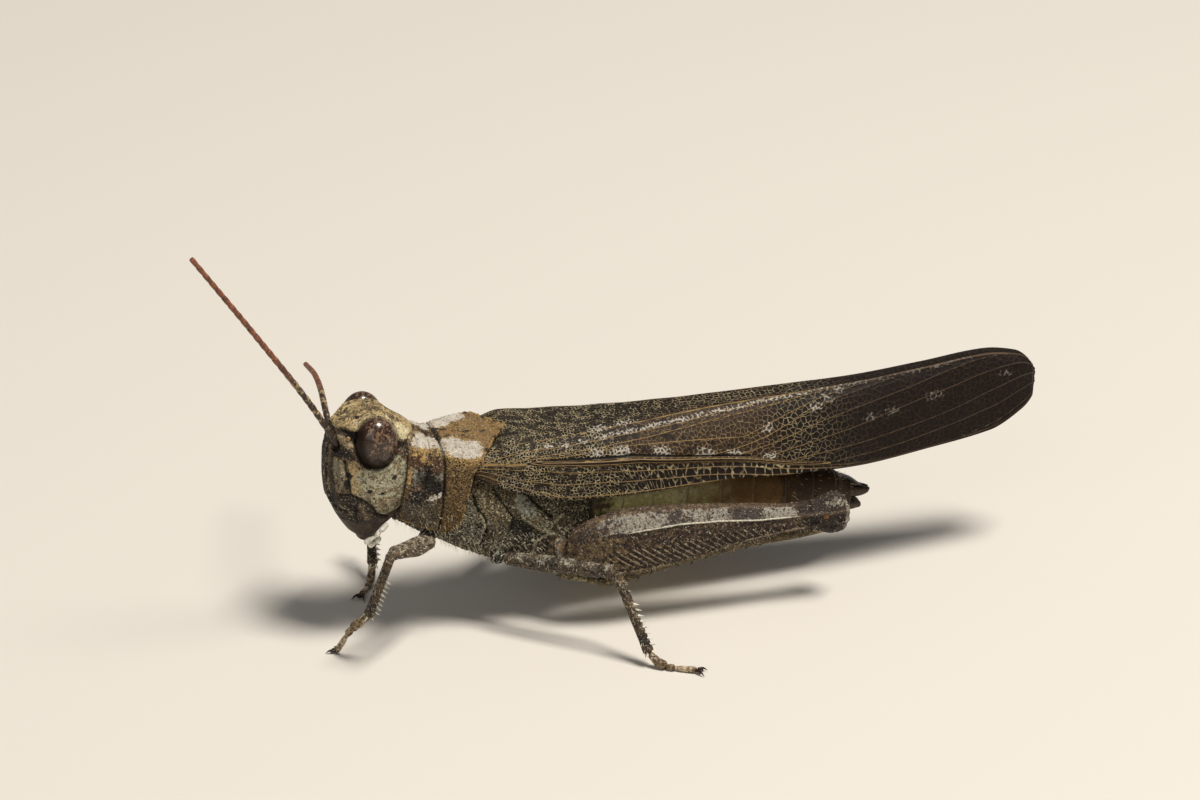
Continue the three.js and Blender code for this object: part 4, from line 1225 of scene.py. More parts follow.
# ---- neck shield -------------------------------------------------------------------
def shield_grid(rows, columns):
    """Rows from the collar to the hind margin, columns from lobe to lobe over the ridge,
    with the share along each row's place."""
    s = np.linspace(COLLAR - 0.05, 0.2, 160)
    ridge, half, power = (v[:, None] for v in row_at(SHIELD, s).T)
    a = np.linspace(math.pi / 2, 0, 300)
    top_y, top_h = half * np.cos(a) ** (2 / power), 0.1 + (ridge - 0.1) * np.sin(a) ** (2 / power)
    down = np.linspace(0, 1, 120)[1:]
    low = on_line(s, LOBE_FOOT)[:, None]
    side_h = 0.1 + (low - 0.1) * down
    side_y = half * (1 - 0.05 * down**2) + 0 * side_h
    y, h = np.concatenate([top_y, side_y], 1), np.concatenate([top_h, side_h], 1)
    length = np.concatenate([np.zeros((len(s), 1)), np.cumsum(np.hypot(
        np.diff(y, axis=1), np.diff(h, axis=1)), axis=1)], 1)
    q = np.linspace(0, 1, columns // 2 + 1)
    ys = np.array([np.interp(q * l[-1], l, v) for l, v in zip(length, y)])
    hs = np.array([np.interp(q * l[-1], l, v) for l, v in zip(length, h)])

    def at(where, table):
        return np.array([np.interp(where[..., k], s, table[:, k])
                         for k in range(len(q))]).T

    end = np.full(len(q), -1.0)
    for _ in range(60):
        yy, hh = at(end[None], ys)[0], at(end[None], hs)[0]
        end += 0.3 * (np.minimum(on_line(yy, APEX), on_line(hh, LOBE_REAR)) - end)
    u = np.linspace(0, 1, rows)[:, None]
    where = COLLAR + u * (end - COLLAR)
    half_grid = np.stack([where, -at(where, ys), at(where, hs)], -1)
    return np.concatenate([half_grid[:, ::-1], half_grid[:, 1:] * (1, -1, 1)], 1), u


def shield_relief(at, u):
    s, y, h = at[..., 0], np.abs(at[..., 1]), at[..., 2]
    top, side = plane_of(s, y), plane_of(s, h)
    keel = 0.09 * hump(y, 0.06) * (1 - 0.8 * hump(s + 3.2, 0.1)) * (1 - 0.7 * hump(s + 3.8, 0.07))
    first = s + 4.12 + 0.05 * np.cos(3 * h)
    second = s + 3.72 - 0.08 * (h - 1)
    main = s - np.interp(h, [-1.3, 0, 1, 1.8, 2.2], [-2.92, -2.98, -3.06, -3.16, -3.2])
    furrows = (-0.12 * hump(main, 0.06) - 0.07 * hump(second, 0.05) * ease(h, 0.1, 0.5)
               - 0.05 * hump(first, 0.05) * ease(h, 0.6, 1))
    sides = 0.06 * lines(top, 0.06, [(-4.5, 0.62), (-3.9, 0.6), (-3.3, 0.8)],
                         [(-3.0, 0.95), (-2.3, 1.35), (-1.8, 1.55)]) * (h > 1.6)
    rim = 0.07 * hump((1 - u) * (2.5 + 0 * s), 0.09) + 0.05 * hump(u * 3, 0.08)
    dent = (-0.1 * blob(side, (-3.45, 0.75), (0.3, 0.35))
            - 0.08 * blob(side, (-3.95, 0.9), (0.25, 0.4)))
    swell = 0.06 * blob(side, (-2.55, 0.4), (0.4, 1.0))
    return keel + furrows + sides + rim + dent + swell


PRO_WHITE = [(-4.42, 1.4), (-4.38, 0.95), (-4.18, 0.52), (-3.81, 0.3), (-3.45, 0.35), (-3.28, 0.6),
             (-3.12, 0.66), (-3.0, 1.6), (-3.3, 1.6), (-3.45, 1.25), (-3.9, 1.5)]
META_WHITE = [(-3.12, 0.66), (-2.95, 0.45), (-2.77, 0.5), (-2.51, 0.55), (-2.38, 0.86),
              (-1.99, 0.97), (-1.77, 1.06), (-1.69, 1.47), (-1.73, 1.8), (-1.9, 2.1), (-3.0, 2.1)]
LOBE_BLACK = [(-3.89, 1.46), (-3.62, 1.42), (-3.4, 0.85), (-3.06, 0.8), (-2.82, 0.45),
              (-3.13, 0.42), (-3.58, 0.25), (-3.6, -0.1), (-4.21, -0.14), (-4.38, 0.1),
              (-4.15, 0.35), (-3.83, 0.6)]
LOBE_GOLD = [(-3.19, 1.9), (-1.7, 2.0), (-2.0, 1.0), (-2.1, -0.5), (-2.4, -1.3), (-2.9, -1.3),
             (-2.96, -0.8), (-3.08, -0.3), (-2.9, 0.3), (-2.95, 0.78), (-3.14, 1.38)]
GREY_FRONT = [(-4.3, 1.28), (-3.96, 1.36), (-3.86, 0.95), (-3.98, 0.75), (-4.26, 0.72)]
GREY_BACK = [(-3.6, 1.02), (-3.4, 0.98), (-3.22, 1.24), (-3.14, 1.1), (-3.16, 0.9), (-3.45, 0.85)]
WHITE_BAR = [(-3.56, 0.2), (-3.12, 0.42), (-3.08, 0.27), (-3.5, 0.05)]
HIND_BEADS = [(-1.57, 1.64, 2.25), (-1.06, 0.9, 2.44), (-0.69, 0.41, 2.51), (-2.06, 2.02, 1.35),
              (-2.14, 2.02, 0.27), (-1.85, 1.97, 1.75)]
BEAD = (0.1, 0.12, 0.13)


def shield_fields(at, u, q):
    s, y, h = at[..., 0], np.abs(at[..., 1]), at[..., 2]
    here, side, top = plane_of(s, y, h), plane_of(s, h), plane_of(s, y)
    edge, upper, outer = (1 - u) * 3 + 0 * s, ease(h, 1.6, 1.8), ease(-h, -1.95, -1.75)
    brim = np.interp(s, [-4.4, -3.3, -3.1, -2.8, -1.9], [2.04, 2.03, 1.92, 1.92, 2.0])
    white = most(region(top, PRO_WHITE, 0.17), region(top, META_WHITE, 0.17)) * ease(
        h - brim, -0.14, 0.14)
    fringe = most(region(top, PRO_WHITE, 0.4), region(top, META_WHITE, 0.3)) * upper
    gold = outer * region(side, LOBE_GOLD, 0.2)
    return {
        "white": most(white, outer * region(side, WHITE_BAR, 0.1)),
        "yellow": most(
            0.85 * fringe, 0.7 * lines(top, 0.12, [(-4.35, 0.3), (-3.75, 0.42)]) * upper,
            0.45 * lines(top, 0.14, [(-3.2, 0), (-0.4, 0)]) * upper,
            0.9 * outer * blobs(here, (-3.95, 1.55, 1.68, 0.12, 0.3, 0.14),
                                (-3.68, 1.6, 1.61, 0.1, 0.3, 0.12),
                                (-4.4, 1.5, 1.0, 0.09, 0.3, 0.4))),
        "black": most(
            outer * region(side, LOBE_BLACK, 0.22),
            lines(top, 0.09, [(-3.61, 0.7), (-3.38, 0.5), (-3.14, 0.45), (-3.06, 0.0)]) * upper,
            0.7 * upper * lines(top, 0.08, [(-3.02, 0.4), (-2.7, 0.25)],
                                [(-3.06, 0), (-3.05, 0.6)]),
            blobs(here, (-3.68, 1.32, 1.91, 0.1, 0.2, 0.12), (-3.25, 1.5, 1.85, 0.14, 0.2, 0.1),
                  (-1.95, 1.95, 1.9, 0.25, 0.2, 0.05), (-2.0, 0.12, 2.33, 0.3, 0.06, 0.2),
                  (-1.35, 0.2, 2.4, 0.12, 0.08, 0.2), (-2.2, 0.5, 2.3, 0.1, 0.07, 0.2))),
        "rust": outer * most(0.75 * between(h, 1.2, 1.95, 0.25) * (s < -3.2),
                             blob(side, (-3.4, 1.5), (0.2, 0.3))),
        "gold": gold,
        "net": gold * 0.9 + 0.3 * outer * ease(-h, -0.1, 0.3) * (s < -2.9)
        + 0.35 * upper * (s > -3.1) * (1 - white),
        "low": outer * ease(-h, -0.15, 0.1) * (s < -2.8),
        "grey": outer * most(region(side, GREY_FRONT, 0.2), region(side, GREY_BACK, 0.16)),
        "disc": upper * (s > -3.1) * 0.9,
        "rim": most(hump(edge, 0.07),
                    0.75 * hump(h - on_line(s, LOBE_FOOT), 0.05) * (s < -2.5)),
        "bead": blobs(here, *((*spot, *BEAD) for spot in HIND_BEADS)) * ease(-edge, -0.16, -0.1),
        "fuzz": ease(-h, 0.1, 0.9),
        **unwrap(0.5 + 0.5 * q + 0 * s, u + 0 * s),
    }


def build_shield(looks):
    grid, u = shield_grid(96, 260)
    q = np.linspace(-1, 1, grid.shape[1])
    relief = shield_relief(grid, u)
    flat = on_body(*np.moveaxis(grid, -1, 0))
    middle = on_body(grid[..., 0], 0, 0.2)
    normal = grid_normals(flat, False)
    normal *= np.where(((flat - middle) * normal).sum(-1, keepdims=True) < 0, -1, 1)
    thick = 0.16 * np.minimum(1, 0.25 + (1 - u) * 6 + 0 * q)[..., None]
    form = Form()
    form.shell(flat + normal * relief[..., None], flat - normal * thick, relief=relief,
               **shield_fields(grid, u, q))
    shell = form.piece("shield_shell", shield_finish(looks), ["pronotum"], "shield")
    granulate(shell, looks.grain_size, looks.grain_height, 4.0)


# ---- trunk ---------------------------------------------------------------------------
def trunk_grid(s, columns, grow=0.0):
    top, foot, half = (v[:, None] for v in row_at(TRUNK, s).T)
    across, up = oval(columns, TRUNK_ROUND)
    middle = foot + 0.42 * (top - foot)
    reach = np.where(up > 0, top - middle, middle - foot) + grow
    return plane_of(s[:, None], (half + grow) * across, middle + reach * up)


PLATE_A = [(-2.2, 0.4), (-1.62, -0.05), (-1.2, -0.55), (-1.05, -0.95), (-1.1, -1.6), (-2.4, -1.7)]
PLATE_B = [(-1.8, 0.9), (-1.1, 0.9), (-0.82, 0.41), (-0.43, -0.04), (-0.15, -0.4), (-0.5, -0.78),
           (-0.98, -0.85), (-1.17, -0.5), (-1.6, 0)]
PLATE_C = [(-0.9, 0.8), (0.1, 0.8), (0.43, 0.39), (0.96, -0.02), (1.5, -0.56), (1.14, -0.88),
           (0.62, -0.58), (0.24, -0.39), (-0.08, -0.3), (-0.4, 0)]
CHALKY = [(-0.1, 0.6), (0.25, 0.4), (0.75, 0), (0.9, -0.3), (0.45, -0.4), (0.1, -0.2), (-0.2, 0.2)]
DUSKY = [(-0.09, -0.5), (0.24, -0.45), (0.79, -0.74), (0.72, -1.29), (0.15, -1.25), (-0.1, -0.9)]
FOLD = [(0.85, -1.9), (0.95, -1.3), (1.33, -0.98), (1.8, -0.94), (2.2, -1.1), (2.3, -1.5),
        (1.8, -1.3), (1.4, -1.5), (1.2, -1.9)]
# the opening under the hip's fold; its black is painted shade in the gap
OPENING = [(1.15, -1.9), (1.39, -1.52), (1.74, -1.32), (2.2, -1.4), (2.3, -1.9)]
SUTURES = [[(-1.75, 0.3), (-1.62, -0.07), (-1.19, -0.56), (-1.04, -0.95), (-1.1, -1.8)],
           [(-1.0, 0.7), (-0.82, 0.41), (-0.43, -0.04), (-0.1, -0.42), (-0.1, -1.2)],
           [(0.25, 0.7), (0.43, 0.41), (0.96, 0.0), (1.45, -0.35)]]
RIMS = [[(-1.38, -0.41), (-1.16, -0.8), (-1.2, -1.14)],
        [(0.24, -0.39), (0.62, -0.6), (1.14, -0.9), (1.45, -0.82), (1.49, -0.56)],
        [(0.9, -1.85), (0.97, -1.32), (1.35, -0.98), (1.65, -0.96)]]
EAR, DISC = (3.0, -0.2), (1.99, -0.59)


def side_relief(at):
    """Plates, sutures and hip rims along the sides of the thorax."""
    s, y, h = at[..., 0], np.abs(at[..., 1]), at[..., 2]
    side = plane_of(s, h)
    disc = np.linalg.norm(side - DISC, axis=-1)
    return ease(y, 0.9, 1.4) * (
        -0.14 * lines(side, 0.06, *SUTURES) + 0.09 * lines(side, 0.06, *RIMS)
        + 0.05 * region(side, PLATE_B, 0.2) + 0.07 * region(side, PLATE_C, 0.2)
        - 0.09 * region(side, DUSKY, 0.2) + 0.08 * region(side, FOLD, 0.12)
        - 0.16 * region(side, OPENING, 0.12)
        + 0.09 * blobs(side, (-0.84, -0.92, 0.13, 0.13), (-0.7, -1.47, 0.2, 0.14),
                       (-0.3, -1.6, 0.16, 0.2))
        + 0.1 * hump(disc - 0.32, 0.06) - 0.05 * hump(disc, 0.2)
        + 0.06 * hump(np.linalg.norm(side - EAR, axis=-1) - 0.4, 0.08))


def side_fields(at):
    s, y, h = at[..., 0], np.abs(at[..., 1]), at[..., 2]
    side = plane_of(s, h)
    disc = np.linalg.norm(side - DISC, axis=-1)
    dusky = region(side, DUSKY, 0.14)
    return {
        "ash": region(side, PLATE_A, 0.15),
        "olive": most(region(side, PLATE_B, 0.14), region(side, PLATE_C, 0.14)),
        "pale": most(region(side, CHALKY, 0.14), 0.75 * blob(side, (1.15, -0.6), (0.25, 0.2)),
                     0.8 * blobs(side, (-0.5, -1.7, 0.35, 0.25), (-1.1, -0.75, 0.12, 0.3))),
        "tan": most(region(side, FOLD, 0.1), ease(-disc, -0.36, -0.28) * 0.9),
        "umber": most(dusky, 0.7 * blobs(side, (1.2, 0.15, 0.5, 0.3), (-2.3, -1.4, 0.35, 0.4),
                                         (2.7, -0.1, 0.8, 0.9))),
        # black: sutures, the ear and the disc's edge, plus the opening under the fold painted black
        # as painted shade
        "black": most(region(side, OPENING, 0.1), lines(side, 0.04, *SUTURES) * 0.9,
                      0.85 * hump(np.linalg.norm(side - EAR, axis=-1), 0.35),
                      0.8 * hump(disc - 0.42, 0.06) * ease(s, 1.9, 2.1)),
        "rim": 0.9 * lines(side, 0.05, *RIMS, [(1.57, -0.52), (1.72, -0.33), (1.93, -0.16)]),
        "net": (1 - region(side, FOLD, 0.1)) * (1 - 0.6 * dusky) * (
            1 - 0.85 * region(side, CHALKY, 0.2)) * (0.4 + 0.3 * ease(h, -1.2, -0.4)),
        "fuzz": ease(-h, 0.5, 1.5) * (y > 0.4),
        **unwrap((s + 4.6) / 7.8, np.arctan2(h, at[..., 1]) / TAU + 0.5),
    }


def build_thorax(looks):
    s = np.linspace(COLLAR + 0.05, TRUNK_CUTS[2] - 0.02, 190)
    grid = trunk_grid(s, 280, -0.02)
    relief = side_relief(grid)
    flat = on_body(*np.moveaxis(grid, -1, 0))
    form = Form()
    form.loft(raised(flat, relief), relief=relief, **side_fields(grid))
    shell = form.piece("side_plates", thorax_finish("side_plates"),
                       ["prothorax", "mesothorax", "metathorax"], "thorax")
    granulate(shell, looks.grain_size, looks.grain_height, 9.0)


BELLY_RINGS, TIP_AFTER = 9, 7


def build_belly():
    finish = belly_finish()
    rows, columns = 34, 160
    angle, share = turns(columns), np.linspace(0, 1, rows)
    u = share[:, None] + 0 * angle
    flare = -0.06 * ease(-u, -0.25, 0) + 0.03 * ease(u, 0.5, 1) - 0.04 * ease(u, 0.93, 1)
    lateral = np.abs(round_angle(angle, -0.35)) * (np.cos(angle) > 0) + 9 * (np.cos(angle) <= 0)
    lateral = np.minimum(lateral, np.abs(round_angle(angle, math.pi + 0.35)))
    relief = flare - 0.04 * hump(lateral, 0.06)
    starts = TRUNK_CUTS[2:]
    for number, (start, stop) in enumerate(zip(starts, starts[1:]), 1):
        last = number == BELLY_RINGS
        s = start + 0.02 + (stop - start - 0.02 + (0 if last else 0.1)) * share
        s = np.minimum(s, TRUNK[-1][0])[:, None]
        flat = on_body(*np.moveaxis(trunk_grid(s[:, 0], columns, -0.03), -1, 0))
        form = Form()
        form.loft(raised(flat, relief), relief=relief * 0.4,
                  amber=np.clip((s - 4.5) / 5, 0, 1) * 0.9 + 0 * angle,
                  umber=ease(s, 9.3, 12.9) + 0.8 * ease(-s, -4.4, -3.3)
                  + 0.2 * hump(u - 0.95, 0.08),
                  stripe=0.6 * hump(u - 0.9, 0.1) * (s < 7), fuzz=0.5 * ease(s, 10, 13) + 0 * angle,
                  **unwrap((s - 3) / 11.2 + 0 * angle, angle / TAU + 0 * u))
        form.piece(f"belly_ring_{number}", finish,
                   ["abdomen_tip" if last else f"abdomen_{number}"],
                   "belly_tip" if number > TIP_AFTER else "belly")
    dark = plain_finish("valves", tone(26, 18, 10), tone(70, 50, 26), rough=(0.25, 0.4))
    for name, h, tip, lift in (("upper", 0.42, 15.03, 0.3), ("lower", -0.14, 14.8, -0.3)):
        form = Form()
        for side in (-1, 1):
            path = [on_body(13.6, side * 0.16, h), on_body(14.3, side * 0.17, h),
                    on_body(tip - 0.2, side * 0.12, h + 0.1 * lift),
                    on_body(tip, side * 0.1, h + 0.4 * lift)]
            grid, _, _ = limb_grid(path, [(0, 0.26, 0.2), (0.6, 0.24, 0.17), (0.9, 0.14, 0.12),
                                          (1, 0.05, 0.05)], 40, 30)
            form.loft(grid)
        if name == "upper":
            path = [on_body(s, 0, h) for s, h in ((13.4, 0.95), (14.1, 0.82), (14.75, 0.55))]
            sizes = [(0, 0.12, 0.42), (0.6, 0.1, 0.34), (1, 0.05, 0.1)]
            grid, _, _ = limb_grid(path, sizes, 40, 30)
            form.loft(grid)
        form.piece(f"egg_valve_{name}", dark, [f"valve_{name}"], "belly_tip")


# ---- wings ------------------------------------------------------------------------
def wing_section(x, columns):
    """Points across the left fore wing at each x, with w: -1 at the midline, 0 at the
    fold, 1 at the belly and 2 at the front margin."""
    fold, top, belly, at, rim_out, rim = (v[:, None] for v in row_at(TENT, x).T)
    w = np.linspace(-1, 2, columns)[None]
    flat, slope, side = np.clip(w + 1, 0, 1), np.clip(w, 0, 1), np.clip(w - 1, 0, 1)
    mid_y, mid_z = (fold + belly) / 2 + 0.08, (top + at) / 2 + 0.18
    ctrl_y, ctrl_z = 2 * mid_y - (fold + belly) / 2, 2 * mid_z - (top + at) / 2
    y = np.where(w < 0, 0.02 + (fold - 0.02) * flat,
                 np.where(w < 1, (1 - slope) ** 2 * fold + 2 * slope * (1 - slope) * ctrl_y
                          + slope**2 * belly, belly + (rim_out - belly) * side))
    z = np.where(w < 0, top - 0.03 * (1 - flat),
                 np.where(w < 1, (1 - slope) ** 2 * top + 2 * slope * (1 - slope) * ctrl_z
                          + slope**2 * at, at + (rim - at) * side))
    for _ in range(5):
        for v in (y, z):
            v[:, 1:-1] = (v[:, :-2] + v[:, 1:-1] * 2 + v[:, 2:]) / 4
    return plane_of(x[:, None], -y, z), w + 0 * y


def upper_normals(grid):
    """Unit directions out of a wing's upper face."""
    normal = grid_normals(grid, False)
    return normal * np.sign((normal * (0, -1, 0.3)).sum(-1, keepdims=True))


VEIN_GAP = 0.004  # the least share across between two veins
RADIAL, MEDIAL = (list(VEINS).index(name) for name in ("radial", "medial"))


def vein_rows(x, girth):
    """Where each vein lies across, for each x, in order; branches start in the bundle."""
    table = {name: on_line(x, points) for name, points in VEINS.items()}
    for k, name in enumerate(reversed(BRANCHES), 1):
        inner = table["radial"] - girth * k / (len(BRANCHES) + 1)
        table[name] = np.where(x >= VEINS[name][0][0], np.minimum(table[name], inner), inner)
    table["medial"] = np.minimum(table["medial"], table["radial"] - girth - 0.07)
    apart = VEIN_GAP * np.arange(len(table))[:, None]
    return np.maximum.accumulate(np.array([*table.values()]) + apart, axis=0)


def wing_form():
    rows, columns = 520, 96
    t = np.linspace(0, 1, rows)
    x = -1.6 + (WING_TIP + 1.6) * (1 - (1 - t) ** 1.15)
    grid, w = wing_section(x, columns)
    across = np.concatenate([np.zeros((rows, 1)), np.cumsum(np.linalg.norm(
        np.diff(grid, axis=1), axis=-1), axis=1)], 1)
    fold = (columns - 1) // 3
    arc = across - across[:, fold:fold + 1]
    girth = np.interp(x, [0, 1.7, 3.4, 6, 9, 12, 14], [0.04, 0.09, 0.13, 0.16, 0.15, 0.09, 0.04])
    veins = vein_rows(x, girth)
    count = len(veins)
    number, gap = np.zeros_like(w), np.zeros_like(w)
    for k in range(rows):
        knots = np.concatenate([[-1.2], veins[:, k], [2.15]])
        number[k] = np.interp(w[k], knots, np.arange(count + 2))
        where = np.interp(knots, w[k], arc[k])
        where[0] -= 0.1
        where[-1] += 0.1
        gap[k] = np.diff(where)[np.clip(number[k].astype(int), 0, count)]
    size = np.interp(x, [-1, 2, 4, 6, 8, 10, 13, 22],
                     [0.12, 0.13, 0.15, 0.17, 0.19, 0.205, 0.22, 0.24])
    rungs = ease(x, 3.4, 6.5)
    along, slow = (np.concatenate([[0], np.cumsum(np.diff(x) / (size * stretch)[1:])])[:, None]
                   for stretch in (1 + 0 * rungs, 1 + 0.6 * rungs))
    x, girth, size, rungs = x[:, None], girth[:, None], size[:, None], rungs[:, None]
    outside = number.astype(int) >= RADIAL + 1
    radial, medial = veins[RADIAL][:, None], veins[MEDIAL][:, None]
    inside = (radial - w) / girth
    bundle = inside * between(inside, 0, 1, 0.12) * ease(x, 0.2, 1.2) * ease(-x, -13.5, -11.5)
    near = ease(x, 0.4, 1.4) * ease(-x, -10.5, -8.5)
    groove = radial - girth - 0.04
    relief = near * (0.05 * hump(w - radial + girth / 2, 0.06) - 0.08 * hump(w - groove, 0.04))
    relief = relief + 0.012 * np.sin(3.1 * x + 1) * between(w, 0.1, 1.9)
    bright = 2 * (radial - girth) - 0.18
    stars = np.max([blob(plane_of(x, 2 * w - bright), (at, -0.08), (0.3, 0.22))
                    for at in (3.2, 4.1, 4.3, 5.7, 5.9, 7.5, 7.7, 8.8, 10.3)], axis=0)
    flecks = blobs(plane_of(x, 2 * w), (1.3, 0.98, 0.3, 0.12), (2, 1, 0.3, 0.12),
                   (2.7, 0.9, 0.3, 0.14), (3.6, 0.8, 0.35, 0.16), (4.6, 0.7, 0.4, 0.16),
                   (3.5, 0.3, 0.5, 0.2), (4.6, 0.2, 0.5, 0.2), (12.3, 0.9, 0.35, 0.25),
                   (12.9, 0.6, 0.3, 0.25), (13.4, 0.3, 0.3, 0.2), (10.2, 1.5, 0.3, 0.2),
                   (14.6, 1.72, 0.25, 0.16), (15.4, 1.7, 0.3, 0.2), (17.3, 1.5, 0.4, 0.2),
                   (20.3, 1.35, 0.3, 0.14))
    streak = lines(plane_of(x / 6, 2 * w), 0.17,
                   [(0.7, 0.74), (1.3, 0.46), (1.85, 0.12), (2.2, 0.03), (2.5, 0.08)],
                   [(2.72, 0.06), (2.86, 0.1)], [(2.98, 0.06), (3.06, 0.06)])
    normal = upper_normals(grid)
    thick = 0.07 + 0.05 * ease(-x, -3, 0) + 0 * w
    form = Form()
    form.shell(
        grid + normal * relief[..., None], grid - normal * thick[..., None],
        vein_row=number, vein_gap=gap, cell_size=size + 0 * w, ladder=outside * rungs,
        cell_u=np.where(outside, slow, along), cell_v=arc / size,
        brown=0.42 * ease(x, 3, 4.5) * ease(-x, -12.5, -10) * between(
            w, 2 * medial - radial - 0.25, radial, 0.12) + 0.25 * between(x, 5, 10, 1),
        apex=ease(x, 8.5, 17) + 0 * w,
        gold=0.12 * ease(-x, -4, -1)
        + 0.25 * between(w, radial - girth - 0.25, radial - girth, 0.1) * between(x, 2, 9, 1),
        clump=0.04 + 0.12 * ease(-x, -8, -5) * ease(-w, -0.62, -0.5)
        + 0.08 * (number > RADIAL + 1) - 0.25 * ease(x, 8, 11),
        white=most(0.9 * stars, 0.75 * flecks, 0.62 * streak),
        smooth=ease(-x, 0.6, 1.0) * ease(w, 1.3, 1.45), bundle=np.clip(bundle, 0, 1),
        # crease: the membrane's own dark plus painted shade in the groove
        crease=near * hump(w - groove, 0.034),
        strong=(1 - 0.35 * ease(x, 10, 14)) * (bundle < 0.02))
    return form


def build_wings(looks):
    finish = wing_finish(looks)
    tree = vein_relief()
    for side in SIDES:
        thing = wing_form().on(side).piece(f"fore_wing_{side}", finish)
        tree.apply(thing, Vein_Height=looks.vein_height, Material=finish)
        adopt(thing, [f"tegmen_{side}"])
    fan = plain_finish("fan_sheets", tone(70, 58, 40), tone(150, 138, 104), 0.3)
    x = np.linspace(1.3, 18.6, 240)
    grid, w = wing_section(x, 84)
    below = 0.62 + 0.08 * np.cos(w * 20) + 0.05 * ease(-x, -17, -15)[:, None]  # with pleats
    normal = upper_normals(grid)
    outer = grid - normal * below[..., None]
    outer[..., 1] = np.minimum(outer[..., 1], -0.05)
    keep = slice(20, 70)
    form = Form()
    form.shell(outer[:, keep], (outer - normal * 0.08)[:, keep])
    for side in SIDES:
        form.on(side).piece(f"hind_wing_{side}", fan, [f"hindwing_{side}"], "fan")


# ---- legs ---------------------------------------------------------------------------
FRONT_SIZES = {
    "thigh": [(0, 0.25, 0.22), (0.35, 0.36, 0.29), (0.75, 0.27, 0.24), (0.93, 0.27, 0.25),
              (1, 0.2, 0.2)],
    "shin": [(0, 0.2, 0.19), (0.12, 0.16, 0.16), (0.8, 0.17, 0.17), (1, 0.21, 0.2)],
}
MID_SIZES = {
    "thigh": [(0, 0.24, 0.22), (0.4, 0.3, 0.26), (0.78, 0.25, 0.22), (0.93, 0.27, 0.24),
              (1, 0.2, 0.2)],
    "shin": [(0, 0.21, 0.19), (0.12, 0.17, 0.17), (0.8, 0.17, 0.17), (1, 0.2, 0.19)],
}
FRONT_HIP = [(-3.55, -1.15, 4.4), (-3.3, -1.48, 3.98)]
MID_HIP = [(-0.75, -1.35, 3.2), (-0.55, -1.9, 3.1)]
MID_LEG = (MID_HIP, (3.1, -4.9, 3.45), (4.0, -6.35, 0.55), (4.45, -6.75, 0.18),
           (5.6, -7.4, 0.15), MID_SIZES)
# Walking legs: the hip, knee, heel, ball and claw of each, and its girths.
LEGS = {
    "front_left": (FRONT_HIP, (-5.56, -4.2, 5.15), (-6.24, -3.08, 2.0), (-6.76, -2.65, 1.38),
                   (-7.28, -2.05, 0.12), FRONT_SIZES),
    "front_right": (FRONT_HIP, (-4.25, -4.75, 3.2), (-4.5, -3.35, 0.7), (-4.75, -2.9, 0.18),
                    (-5.3, -2.1, 0.15), FRONT_SIZES),
    "mid_left": MID_LEG,
    "mid_right": MID_LEG,
}


def foot_form(heel, ball_at, claw, padded=True):
    """Three joints of a foot, which may have pads underneath that rest on the floor."""
    place, _ = smooth_line([heel, ball_at, claw])
    form = Form()
    for start, stop, girth in ((0, 0.42, 0.15), (0.4, 0.58, 0.12), (0.56, 1.0, 0.1)):
        path = [place(start), place((start + stop) / 2), place(stop)]
        grid, t, angle = limb_grid(path, [(0, girth * 0.7, girth * 0.7), (0.3, girth, girth),
                                          (0.85, girth * 1.15, girth * 1.1),
                                          (1, girth * 0.8, girth * 0.8)], 40, 28)
        if padded:
            pads = 0.05 * np.maximum(0, -np.sin(angle)) * (0.5 + 0.5 * np.cos(t * TAU * 2))
            grid = grid - plane_of(0, 0, 1) * pads[..., None]
            grid[..., 2] = np.maximum(grid[..., 2], 0.0)
        form.loft(grid, pale=0.45 + 0.25 * (start > 0.5) - 0.3 * t, dark=0.6 * hump(t - 1, 0.12))
    return form


def claw_form(claw, ahead):
    """Two claws and the small pad between them, none below the floor."""
    form = Form()
    out = np.array([-ahead[1], ahead[0], 0])
    for way in (-1, 1):
        root = np.array(claw) + out * way * 0.05
        tip = root + ahead * 0.36 + out * way * 0.24
        tip[2] = 0.02
        spike(form, root, tip, 0.06, 0.08)
    bead(form, np.array(claw) + ahead * 0.14, (0.11, 0.1, 0.06))
    for points in form.points:
        points[:, 2] = np.maximum(points[:, 2], 0)
    return form


def shin_thorns(path):
    """Two rows of thorns down the back of a walking leg's shin, and four at its end."""
    place, heading = smooth_line(path)
    way = heading(0.5)
    back = np.cross(np.cross(way, (1, 0, 0)), way)
    back /= np.linalg.norm(back)
    flank = np.cross(way, back)
    thorns = Form()
    for k, turn in itertools.product(range(8), (-1, 1)):
        root = place(0.4 + 0.07 * k) + back * 0.1 + flank * 0.07 * turn
        spike(thorns, root, root + back * 0.24 + flank * 0.12 * turn + way * 0.14, 0.05)
    for turn, hand in itertools.product((-1, 1), (-1, 1)):
        root = place(0.97) + back * 0.08 * turn + flank * 0.09 * hand
        spike(thorns, root, root + way * 0.24 + back * 0.1 * turn + flank * 0.09 * hand, 0.045)
    return thorns


def hind_thorns():
    """Two rows of thorns under a hind shin, and four at its end."""
    place, _ = smooth_line(SHIN_LINE)
    thorns = Form()
    for k, turn in itertools.product(range(10), (-1, 1)):
        root = place(0.36 + 0.062 * k) + (0, 0.08 * turn, -0.1)
        spike(thorns, root, root + (-0.2, 0.15 * turn, -0.18), 0.045)
    for turn, drop in itertools.product((-1, 1), (-0.3, 0.05)):
        root = place(0.98) + (0, 0.12 * turn, -0.05)
        spike(thorns, root, root + (-0.32, 0.1 * turn, drop), 0.055)
    return thorns


